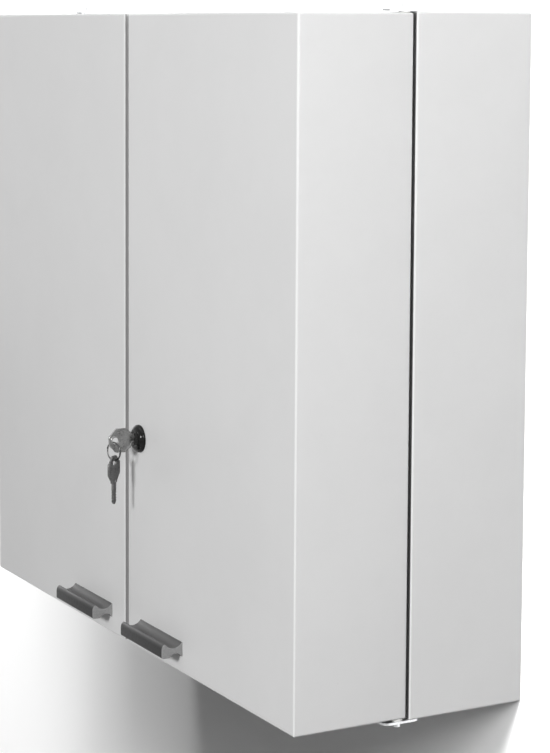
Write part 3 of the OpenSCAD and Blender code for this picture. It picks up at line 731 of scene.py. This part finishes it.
def materials():
    """Every finish by name, made once."""
    if not MADE:
        nickel = (0.66, 0.65, 0.63, 1)
        MADE.update({
            "paint": powder_coat(),
            "zinc": metal("bright_zinc", (0.55, 0.555, 0.56, 1), 0.36, PLATE_LINES),
            "nickel": metal("nickel_plate", nickel, 0.22, PLATE_LINES, line_depth=0.006 * MM),
            "plug": plug_face(nickel),
            "key": metal("key_nickel", (0.36, 0.36, 0.357, 1), 0.3, STAMPED_LINES,
                         line_depth=0.02 * MM, edge_gain=4.0, dark=0.55),
            # The spare key's nickel: a darker copy of the key's.
            "spare": metal("key_worn", (0.19, 0.19, 0.189, 1), 0.32, STAMPED_LINES,
                           line_depth=0.03 * MM, edge_gain=6.0, dark=0.35),
            "ring": metal("ring_wire", (0.13, 0.13, 0.132, 1), 0.2, (900.0, 900.0, 900.0),
                          edge_gain=3.0, dark=0.7),
            "brass": metal("stamped_brass", (0.72, 0.56, 0.27, 1), 0.3, PLATE_LINES),
            "grip": grip_skin(),
            "grip_end": grip_cut(),
            "black": black_lacquer(),
            "bush": moulded("white_polyamide", (0.78, 0.78, 0.76, 1), 0.45),
            "catch": moulded("catch_housing", (0.74, 0.74, 0.72, 1), 0.42),
            "rubber": moulded("buffer_rubber", grey(0.05), 0.7, grain_scale=1600.0,
                              depth=0.05 * MM, specular=0.25),
        })
    return MADE


# ---- pieces ----


def sag_radius(width, sag):
    """Radius of the arc that spans a width with a sag: (width * width / 4 + sag * sag) / (2 * sag)."""
    return (width**2 / 4 + sag**2) / (2 * sag)


def grip_section(size):
    """Closed outline of the grip, as (distance from the door, height): a block, less an arc for the
    finger scoop on top and one for the arch below. The lip's front is a quarter ellipse above and
    a quarter circle below."""
    depth = -low("right_handle")[1] + DOOR_FRONT
    height = high("right_handle")[2] - low("right_handle")[2]
    lip_radius = size.lip / 2
    lip_top = np.array([0.75 * size.lip, size.lip_fall])
    scoop_width = depth - size.lip - size.wall
    scoop_radius = sag_radius(scoop_width, size.scoop)
    scoop_centre = (size.wall + scoop_width / 2, height - size.scoop + scoop_radius)
    arch_radius = sag_radius(size.arch_width, size.arch)
    arch_centre = (size.wall + size.arch_width / 2, size.arch - arch_radius)
    scoop_half = np.degrees(np.arcsin(scoop_width / 2 / scoop_radius))
    arch_half = np.degrees(np.arcsin(size.arch_width / 2 / arch_radius))
    edge, edge_turn = 0.35 * MM, 5
    return np.concatenate([
        np.linspace((0, 0), (0, height), 2),
        arc(scoop_centre, scoop_radius, 270 - scoop_half, 270 + scoop_half - edge_turn, 40),
        arc((depth - size.lip + edge * 2, height - edge), edge, 150, 90, 5),
        arc((0, 0), 1, 90, 0, 20) * lip_top + (depth, height) - lip_top,
        arc((depth - lip_radius, lip_radius), lip_radius, 0, -90, 12),
        arc(arch_centre, arch_radius, 90 - arch_half, 90 + arch_half, 32),
    ])[::-1]


class CABINET_OT_grips(Operator):
    """Makes both pull grips: the section runs straight from end to end and draws in round the
    sawn ends along a quarter circle."""

    bl_idname = "cabinet.grips"
    bl_label = "Pull Grips"

    def execute(self, context):
        size = context.scene.cabinet_handles
        finishes = materials()
        section = grip_section(size)
        turn = np.radians(np.linspace(0, 90, 6))
        steps_in = size.end_round * (1 - np.sin(turn))
        steps_on = size.end_round * (1 - np.cos(turn))
        smooth = radians(38)
        for side in ("left", "right"):
            node = f"{side}_handle"
            x0, x1 = low(node)[0], high(node)[0]
            floor = low(node)[2]
            stations = np.concatenate([x0 + steps_on, (x1 - steps_on)[::-1]])
            insets = np.concatenate([steps_in, steps_in[::-1]])
            rings = []
            for x, depth in zip(stations, insets):
                outline = inset(section, depth)
                rings.append(np.stack([np.full(len(outline), x), DOOR_FRONT - outline[:, 0],
                                       floor + outline[:, 1]], -1))
            points = np.array(rings)
            rows, cols = points.shape[:2]
            faces = grid_faces(rows, cols, wrap_cols=True).tolist()
            band = len(turn) - 1
            ends = list(range(band * cols)) + list(range(len(faces) - band * cols, len(faces)))
            ends += [len(faces), len(faces) + 1]
            faces.append(list(range(cols)))
            faces.append(list(range((rows - 1) * cols, rows * cols))[::-1])
            grip = build(f"grip_{side}", points, faces, smooth, ends)
            settle(grip, f"{side}_door", "grip_plastic",
                   [finishes["grip"], finishes["grip_end"]], node)
        return {"FINISHED"}


class CABINET_OT_rosette(Operator):
    """Makes the lock's rosette and threaded barrel in one turned piece: a profile of (radius,
    height) turned about the lock's axis, with the thread a saw wave of angle and height."""

    bl_idname = "cabinet.rosette"
    bl_label = "Lock Rosette"

    def execute(self, context):
        size = context.scene.cabinet_lock
        rim_radius = float(high("lock_housing")[0] - LOCK_AXIS[0])
        height = float(DOOR_FRONT - low("lock_housing")[1])
        length = float(high("lock_housing")[1] - DOOR_FRONT)
        soft, chamfer = 0.25 * MM, 0.8 * MM
        lead_in, lead_out, thread_steps = 0.6 * MM, 0.1 * MM, 150
        bow = np.radians(np.linspace(0, 90, 26))
        dome = np.stack([size.face + (rim_radius - size.face) * np.cos(bow),
                         size.rim + (height - size.rim) * np.sin(bow)], -1)
        threads = np.stack([np.full(thread_steps, size.barrel),
                            np.linspace(-length + lead_in, -lead_out, thread_steps)], -1)
        front = [(rim_radius - soft, 0), (rim_radius - soft * 0.3, soft * 0.3), (rim_radius, soft)]
        mouth = [(size.seat + soft, height), (size.seat + soft * 0.3, height - soft * 0.3),
                 (size.seat, height - soft), (size.seat, height - size.seat_depth),
                 (size.bore, height - size.seat_depth), (size.bore, -length),
                 (size.barrel - chamfer, -length)]
        profile = np.concatenate([threads, [(size.barrel, 0)], front, dome, mouth])
        angle = np.linspace(0, 2 * pi, size.steps, endpoint=False)
        radius = np.repeat(profile[:, :1], size.steps, 1)
        along = np.repeat(profile[:, 1:], size.steps, 1)
        wave = np.abs(2 * ((along / size.pitch + angle / (2 * pi)) % 1) - 1)
        threaded = np.zeros(len(profile), bool)
        threaded[:thread_steps] = True
        threaded = threaded[:, None]
        radius = np.where(threaded, radius - size.thread * wave, radius)
        flat = (size.barrel - size.flat) / np.maximum(np.abs(np.cos(angle)), 1e-6)
        radius = np.where(threaded, np.minimum(radius, flat), radius)
        points = np.stack([LOCK_AXIS[0] + radius * np.cos(angle), DOOR_FRONT - along,
                           LOCK_AXIS[2] + radius * np.sin(angle)], -1)
        faces = grid_faces(len(profile), size.steps, wrap_rows=True, wrap_cols=True)
        rosette = build("lock_rosette", points, faces.tolist(), radians(40))
        settle(rosette, "right_door", "lock_black", [materials()["black"]], "lock_housing")
        return {"FINISHED"}


def blade_height(x, size, cuts):
    """Half height of the blade at x: the straight edge, tapered to the tip, less a V cut with a
    flat bottom at each place and depth in cuts."""
    half = size.blade_height / 2
    tip, taper, floor_half, cut_half = MM, 3 * MM, 0.3 * MM, 0.6 * MM
    edge = np.minimum(half, tip + (x + size.blade) / taper * (half - tip))
    for place, depth in cuts:
        away = np.maximum(np.abs(x - place) - floor_half, 0)
        edge = np.minimum(edge, half - depth + away * (MM + depth) / cut_half)
    return edge


def key_half(size, cuts):
    """Upper half of a key, as arrays over its outline: outline points, and the points that the
    faces run in to, first along the middle line and then round the hole."""
    head_length = float(high("spare_key")[2] - low("spare_key")[2]) - size.blade
    half_height = float(high("key_in_lock")[2] - low("key_in_lock")[2]) / 2
    front, shoulder_flat, nose_flank = 3.9 * MM, 1.5 * MM, 7 * MM
    corner_cuts = np.array([0.8, 1.6, 1.6, 1.4]) * MM
    spine_end, bow_start, bow_blend = 1.2 * MM, 0.5 * MM, 2.5 * MM
    blade_steps, bow_steps = 130, 90
    blade_x = np.linspace(-size.blade, 0, blade_steps)
    blade = np.stack([blade_x, blade_height(blade_x, size, cuts)], -1)
    nose = np.linspace((-size.blade, 0), blade[0], 4)[:-1]
    corners = np.array([
        (0, size.neck), (shoulder_flat, size.neck), (size.flank, half_height),
        (head_length - nose_flank, half_height), (head_length, front), (head_length, 0)])
    bow = rounded(corners, corner_cuts, 8)
    shoulder = np.linspace(blade[-1], bow[0], 4)[1:-1]
    step = np.r_[0, np.cumsum(np.linalg.norm(np.diff(bow, axis=0), axis=1))]
    even = np.linspace(0, step[-1], bow_steps)
    bow = np.stack([np.interp(even, step, bow[:, 0]), np.interp(even, step, bow[:, 1])], -1)
    outline = np.concatenate([nose, blade, shoulder, bow])
    count = len(outline) - len(bow)
    spine_x = np.maximum(outline[:count, 0], -size.blade + spine_end)
    spine = np.stack([spine_x, np.zeros(count)], -1)
    on_flank = bow[:, 0] < size.flank
    reach = np.linspace(0, size.hole_at - size.hole, on_flank.sum())
    inner = np.stack([reach, np.zeros(len(reach))], -1)
    round_hole = arc((size.hole_at, 0), size.hole, 180, 0, len(bow) - len(reach))
    target = np.concatenate([spine, inner, round_hole])
    on_hole = np.r_[np.zeros(count + len(reach)), np.ones(len(round_hole))]
    on_bow = np.clip((outline[:, 0] - bow_start) / bow_blend, 0, 1)
    return outline, target, on_bow, on_hole


def key_face(size, cuts, mirror):
    """One face of half a key as a grid (ring, outline, xyz). Rings run from the outline to the
    target line at set distances; their heights give the tumbled edge, the head's raised rim and
    stamped panel, the raised ring round the hole and the blade's groove."""
    outline, target, on_bow, on_hole = key_half(size, cuts)
    reach = np.linalg.norm(target - outline, axis=1)
    way = (target - outline) / np.maximum(reach, 1e-9)[:, None]
    top = size.thickness / 2
    panel, groove = top - size.recess, top - size.groove
    zero = np.zeros(len(reach))
    step, hole_rim, hole_edge = 0.3 * MM, 1.6 * MM, 0.2 * MM
    bow_at = np.stack([zero, zero + size.edge, zero + size.rim, zero + size.rim + step,
                       reach - hole_rim, reach - hole_rim + step, reach - hole_edge, reach])
    blade_at = np.stack([zero, zero + size.edge, *(reach - step * n for n in (5, 4, 3, 2, 1, 0))])
    at = on_bow * bow_at + (1 - on_bow) * blade_at
    at = np.minimum(np.maximum.accumulate(np.maximum(at, 0), 0), reach)
    bow_z = np.array([top - size.edge, top, top, panel, panel, panel, panel, panel])[:, None]
    hole_z = np.array([top - size.edge, top, top, panel, panel, top, top, top - hole_edge])[:, None]
    blade_z = np.array([top - size.edge, top, top, groove, groove, groove, groove, groove])[:, None]
    z = on_bow * (on_hole * hole_z + (1 - on_hole) * bow_z) + (1 - on_bow) * blade_z
    flat = outline + at[..., None] * way
    grid = np.concatenate([flat, np.broadcast_to(z, at.shape)[..., None]], -1)
    grid[..., 1] *= mirror
    return grid, on_hole


def key_mesh(size):
    """Points and faces of a whole key in its own frame: x along the head, z across the thickness.
    Both halves and both faces are grids; bands join them along the edge and in the hole."""
    pitch, first = 2.6 * MM, -7.8 * MM
    quarter = 0.25 * MM
    up = [(first - pitch * i, 2 * quarter + quarter * ((i * 3) % 4)) for i in range(5)]
    down = [(first - pitch * i, 2 * quarter + quarter * ((i * 2 + 1) % 4)) for i in range(5)]
    points, faces, base = [], [], 0
    for cuts, mirror in ((up, 1), (down, -1)):
        grid, on_hole = key_face(size, cuts, mirror)
        rings, count = grid.shape[:2]
        under = grid * np.array([1, 1, -1])
        points += [grid.reshape(-1, 3), under.reshape(-1, 3)]
        quads = grid_faces(rings, count)
        faces += [quads + base, quads + base + rings * count]
        j = np.arange(count - 1)
        other = base + rings * count
        faces.append(np.stack([base + j, base + j + 1, other + j + 1, other + j], -1))
        k = j[(on_hole[:-1] > 0) & (on_hole[1:] > 0)]
        last = (rings - 1) * count
        faces.append(np.stack([base + last + k, base + last + k + 1,
                               other + last + k + 1, other + last + k], -1))
        base += 2 * rings * count
    return np.concatenate(points), np.concatenate(faces)


class CABINET_OT_keys(Operator):
    """Makes the key in the lock and the spare one from the same stamped form."""

    bl_idname = "cabinet.keys"
    bl_label = "Keys"

    def execute(self, context):
        size = context.scene.cabinet_keys
        finishes = materials()
        points, faces = key_mesh(size)
        smooth = radians(28)
        shoulder = float(low("key_in_lock")[1]) + float(
            high("spare_key")[2] - low("spare_key")[2]) - size.blade
        x, y, z = points.T
        placed = np.stack([LOCK_AXIS[0] - z, shoulder - x, LOCK_AXIS[2] + y], -1)
        key = build("key_turned", placed, faces.tolist(), smooth)
        settle(key, "key", "key_nickel", [finishes["key"]], "key_in_lock")
        centre = middle("spare_key")
        swing = joint("spare_swing")["axis"]
        across = np.array([-swing[1], swing[0]])
        across = across if across[1] > 0 else -across
        drop = float(low("spare_key")[2]) + size.blade
        flat = np.outer(y, across) + np.outer(-z, [across[1], -across[0]])
        placed = np.stack([centre[0] + flat[:, 0], centre[1] + flat[:, 1], drop + x], -1)
        spare = build("key_spare", placed, faces.tolist(), smooth)
        settle(spare, "spare", "key_nickel", [finishes["spare"]], "spare_key")
        return {"FINISHED"}


class CABINET_OT_ring(Operator):
    """Makes the split ring: a flattened wire section, a superellipse, carried along two turns that
    lie side by side, with a smooth step from one to the other, and round ends next to the step."""

    bl_idname = "cabinet.ring"
    bl_label = "Split Ring"

    def execute(self, context):
        size = context.scene.cabinet_ring
        centre = middle("key_ring")
        radius = RING_RADIUS - 0.7 * MM
        half_pitch, end_round, squareness = 0.35 * MM, 0.5 * MM, 0.7
        short, step_turn, first_end = 0.5, 0.8, radians(200)
        start, end = short, 4 * pi - short
        turns = np.linspace(start, end, 360)
        step = np.clip((turns - (2 * pi - step_turn / 2)) / step_turn, 0, 1)
        side = half_pitch * (2 * step * step * (3 - 2 * step) - 1)
        off_end = np.minimum(turns - start, end - turns) * radius
        cap = np.sqrt(np.clip(1 - (1 - np.clip(off_end / end_round, 0, 1)) ** 2, 0, 1))
        round_wire = np.linspace(0, 2 * pi, 20, endpoint=False)
        across, along = np.cos(round_wire), np.sin(round_wire)
        across = np.sign(across) * np.abs(across) ** squareness * size.half_height
        along = np.sign(along) * np.abs(along) ** squareness * size.half_width
        reach = radius + cap[:, None] * across
        offset = side[:, None] + cap[:, None] * along
        phase = turns[:, None] + first_end
        flat, up = reach * np.cos(phase), reach * np.sin(phase)
        cosine, sine = cos(size.yaw), sin(size.yaw)
        points = np.stack([centre[0] + flat * cosine + offset * sine,
                           centre[1] + flat * sine - offset * cosine,
                           centre[2] + up], -1)
        faces = grid_faces(len(turns), len(round_wire), wrap_cols=True)
        ring = build("split_ring", points, faces.tolist(), radians(50))
        settle(ring, "ring", "ring_steel", [materials()["ring"]], "key_ring")
        return {"FINISHED"}


class CABINET_OT_sheet_metal(Operator):
    """Powder-coats the body, the door pans and everything that is welded into them."""

    bl_idname = "cabinet.sheet_metal"
    bl_label = "Painted Sheet"

    def execute(self, context):
        paint = materials()["paint"]
        doors = ("left_door", "right_door")
        dress(["carcase", "back_panel", *(f"{d}_shell" for d in doors)], paint)
        thin = [f"shelf_{n}" for n in ("lower", "middle", "upper")]
        thin += [f"shelf_upright_{s}_{e}" for s in ("left", "right") for e in ("rear", "front")]
        thin += [f"{d}_tray_{n}" for d in doors for n in ("lower", "middle", "upper")]
        dress(thin, paint)
        return {"FINISHED"}


class CABINET_OT_hardware(Operator):
    """Finishes the hinges, screws, rivets, rods, catches and buffers."""

    bl_idname = "cabinet.hardware"
    bl_label = "Hardware"

    def execute(self, context):
        finishes = materials()
        sides = ("left", "right")
        corners = [f"{e}_{s}" for e in ("top", "bottom") for s in sides]
        zinc = [f"hinge_plate_{c}" for c in corners] + [f"hinge_pin_{c}" for c in corners]
        zinc += [f"{s}_{p}" for s in sides for p in ("door_brackets", "strike_plate", "handle_screws")]
        dress(zinc + ["hinge_plate_rivets", "catch_screws", "catch_poles", "shelf_clips",
                      "lock_keeper", "lock_nut", "lock_cam", "cam_screw"],
              finishes["zinc"], edge=0.25 * MM)
        dress([f"{s}_door_guard_rods" for s in sides], finishes["nickel"])
        dress([f"{s}_door_bushes" for s in sides], finishes["bush"], edge=0.2 * MM)
        dress([f"magnet_catch_{s}" for s in sides], finishes["catch"], edge=0.4 * MM)
        dress(["door_buffers"], finishes["rubber"], edge=0.6 * MM)
        dress(["lock_plug"], finishes["plug"])
        dress(["lock_wafers"], finishes["brass"])
        dress(["wafer_springs"], finishes["key"])
        return {"FINISHED"}


# ---- stage ----


def plane(name, corners, material):
    """A stage plane through four corners, counter-clockwise seen from its front."""
    mesh = bpy.data.meshes.new(name)
    mesh.from_pydata(corners, [], [(0, 1, 2, 3)])
    mesh.materials.append(material)
    sheet = bpy.data.objects.new(name, mesh)
    bpy.context.scene.collection.objects.link(sheet)
    return sheet


LAMPS = {
    # name: azimuth, elevation, distance, width, height, level
    "key": (28, 14, 3.2, 0.5, 0.5, 0.61),
    "side": (85, 24, 3.0, 1.0, 0.8, 0.395),
    "top": (20, 75, 2.0, 2.4, 1.0, 0.25),
    "left": (-96, 6, 3.4, 1.6, 1.6, 0.38),
    "rear": (205, 6, 3.4, 2.0, 2.0, 0.45),
}
WALL_LAMPS = (
    # azimuth, elevation, distance, width, height, level
    (60, 58, 2.4, 1.2, 1.0, 2.95),
    (40, 45, 2.6, 1.2, 0.8, 1.04),
    (15, 75, 2.2, 2.0, 0.8, 3.09),
    (66, 24, 2.8, 1.0, 1.0, 0.9),
)
WORLD_LEVEL = 0.1


def wall_finish(colour):
    """Matt wall that takes shadows on its front and is clear from behind."""
    material = bpy.data.materials.new("wall_paint")
    material.use_nodes = True
    tree = material.node_tree
    tree.nodes.remove(tree.nodes["Principled BSDF"])
    matt = add(tree, "ShaderNodeBsdfDiffuse", {"Color": colour})
    clear = tree.nodes.new("ShaderNodeBsdfTransparent")
    rear = tree.nodes.new("ShaderNodeNewGeometry").outputs["Backfacing"]
    mix = add(tree, "ShaderNodeMixShader", {0: rear, 1: matt.outputs[0], 2: clear.outputs[0]})
    feed(tree, tree.nodes["Material Output"], {"Surface": mix.outputs[0]})
    return material


def seen_directly(tree):
    """One where the camera, gloss or glass looks, and zero where a surface is lit."""
    path = tree.nodes.new("ShaderNodeLightPath").outputs
    mirrored = compute(tree, "MAXIMUM", path["Is Glossy Ray"], path["Is Transmission Ray"])
    return compute(tree, "MAXIMUM", path["Is Camera Ray"], mirrored)


def floor_finish():
    """Plain pale floor, which shows pale far from the lamps too and throws little light back up."""
    material = bpy.data.materials.new("floor_paint")
    material.use_nodes = True
    tree = material.node_tree
    shader = tree.nodes["Principled BSDF"]
    seen = seen_directly(tree)
    feed(tree, shader, {
        "Base Color": blend_colour(tree, seen, grey(0.2), grey(0.38)),
        "Emission Color": blend_colour(tree, seen, grey(0), grey(0.58)),
        "Emission Strength": 1.0,
        "Roughness": 0.9})
    return material


def lamp(name, azimuth, elevation, distance, width, height, level, wall, only=False):
    """An area lamp that faces the cabinet's middle. Level 1 lights a surface that faces it so
    that a colour renders as it is written: the power is level * pi * pi * distance squared.
    It leaves out the wall, or with only set it lights nothing else."""
    target = Vector((0, DOOR_FRONT / 2, 0))
    a, e = radians(azimuth), radians(elevation)
    back = Vector((sin(a) * cos(e), -cos(a) * cos(e), sin(e)))
    data = bpy.data.lights.new(name, "AREA")
    data.shape = "RECTANGLE"
    data.size, data.size_y = width, height
    data.energy = level * pi * pi * distance**2
    light = bpy.data.objects.new(name, data)
    light.location = target + back * distance
    light.rotation_mode = "QUATERNION"
    light.rotation_quaternion = (-back).to_track_quat("-Z", "Y")
    bpy.context.scene.collection.objects.link(light)
    lit = bpy.data.collections.new(name + "_light")
    lit.objects.link(wall)
    light.light_linking.receiver_collection = lit
    if not only:
        lit.collection_objects[0].light_linking.link_state = "EXCLUDE"


def world_light(strength):
    """Even white surroundings: plain white where the camera, gloss or glass sees them, and dimmer
    as light on surfaces."""
    world = bpy.data.worlds.new("studio")
    world.use_nodes = True
    tree = world.node_tree
    shown = add(tree, "ShaderNodeBackground", {"Color": grey(1), "Strength": 1.0})
    light = feed(tree, tree.nodes["Background"], {"Color": grey(1), "Strength": strength})
    mix = add(tree, "ShaderNodeMixShader", {
        0: seen_directly(tree), 1: light.outputs[0], 2: shown.outputs[0]})
    feed(tree, tree.nodes["World Output"], {"Surface": mix.outputs[0]})
    bpy.context.scene.world = world


def camera(stage):
    """The photograph's camera. Forward is heading to the left of +Y and tilt above the horizon."""
    data = bpy.data.cameras.new("camera")
    data.lens = stage.lens
    data.sensor_width = 36
    data.shift_y = stage.shift
    data.clip_start, data.clip_end = 0.05, 60
    eye = bpy.data.objects.new("camera", data)
    heading, tilt, roll = stage.heading, stage.tilt, stage.roll
    forward = Vector((-sin(heading) * cos(tilt), cos(heading) * cos(tilt), sin(tilt)))
    level = Vector((cos(heading), sin(heading), 0))
    upright = level.cross(forward)
    right = cos(roll) * level + sin(roll) * upright
    top = cos(roll) * upright - sin(roll) * level
    turn = Matrix((right, top, -forward)).transposed().to_4x4()
    eye.matrix_world = Matrix.Translation(stage.eye) @ turn
    bpy.context.scene.collection.objects.link(eye)
    bpy.context.scene.camera = eye


class CABINET_OT_stage(Operator):
    """Sets up the camera, the lamps, the white wall that the cabinet hangs on and a pale floor."""

    bl_idname = "cabinet.stage"
    bl_label = "Stage"

    def execute(self, context):
        stage = context.scene.cabinet_stage
        camera(stage)
        context.scene.view_settings.view_transform = "Standard"
        wide, tall = 7.0, 5.0
        under = float(CAD_BOX[0][2]) - stage.floor_drop
        rear = 0.4 * MM
        wall = plane("wall", [(-wide, rear, under), (wide, rear, under), (wide, rear, tall),
                              (-wide, rear, tall)], wall_finish(tuple(stage.wall_colour)))
        wall.visible_shadow = False
        wall.visible_diffuse = False
        plane("floor", [(-wide, -wide, under), (wide, -wide, under), (wide, wide, under),
                        (-wide, wide, under)], floor_finish())
        for name, place in LAMPS.items():
            lamp(name, *place, wall)
        for index, place in enumerate(WALL_LAMPS):
            lamp(f"wall_{index}", *place, wall, only=True)
        world_light(WORLD_LEVEL)
        return {"FINISHED"}


class CABINET_PT_panel(Panel):
    """Lists the operators and the settings in the 3D view's sidebar."""

    bl_idname = "CABINET_PT_panel"
    bl_label = "Medicine Cabinet"
    bl_space_type = "VIEW_3D"
    bl_region_type = "UI"
    bl_category = "Cabinet"

    def draw(self, context):
        for operator in OPERATORS:
            self.layout.operator(operator.bl_idname)
        for name, group in SETTINGS.items():
            box = self.layout.box()
            box.label(text=group.__doc__)
            values = getattr(context.scene, name)
            for key in group.__annotations__:
                box.prop(values, key)


SETTINGS = {
    "cabinet_paint": PaintSettings,
    "cabinet_handles": HandleSettings,
    "cabinet_lock": LockSettings,
    "cabinet_keys": KeySettings,
    "cabinet_ring": RingSettings,
    "cabinet_stage": StageSettings,
}
OPERATORS = (
    CABINET_OT_stage,
    CABINET_OT_sheet_metal,
    CABINET_OT_hardware,
    CABINET_OT_grips,
    CABINET_OT_rosette,
    CABINET_OT_keys,
    CABINET_OT_ring,
)


def register():
    """Registers the settings, the operators and the panel."""
    for group in SETTINGS.values():
        bpy.utils.register_class(group)
    for name, group in SETTINGS.items():
        setattr(bpy.types.Scene, name, PointerProperty(type=group))
    for operator in OPERATORS:
        bpy.utils.register_class(operator)
    bpy.utils.register_class(CABINET_PT_panel)


def unregister():
    """Removes what register added."""
    bpy.utils.unregister_class(CABINET_PT_panel)
    for operator in reversed(OPERATORS):
        bpy.utils.unregister_class(operator)
    for name in SETTINGS:
        delattr(bpy.types.Scene, name)
    for group in reversed(list(SETTINGS.values())):
        bpy.utils.unregister_class(group)


def main():
    """Makes the scene."""
    register()
    bpy.ops.cabinet.stage()
    bpy.ops.cabinet.sheet_metal()
    bpy.ops.cabinet.hardware()
    bpy.ops.cabinet.grips()
    bpy.ops.cabinet.rosette()
    bpy.ops.cabinet.keys()
    bpy.ops.cabinet.ring()


if __name__ == "__main__":
    main()
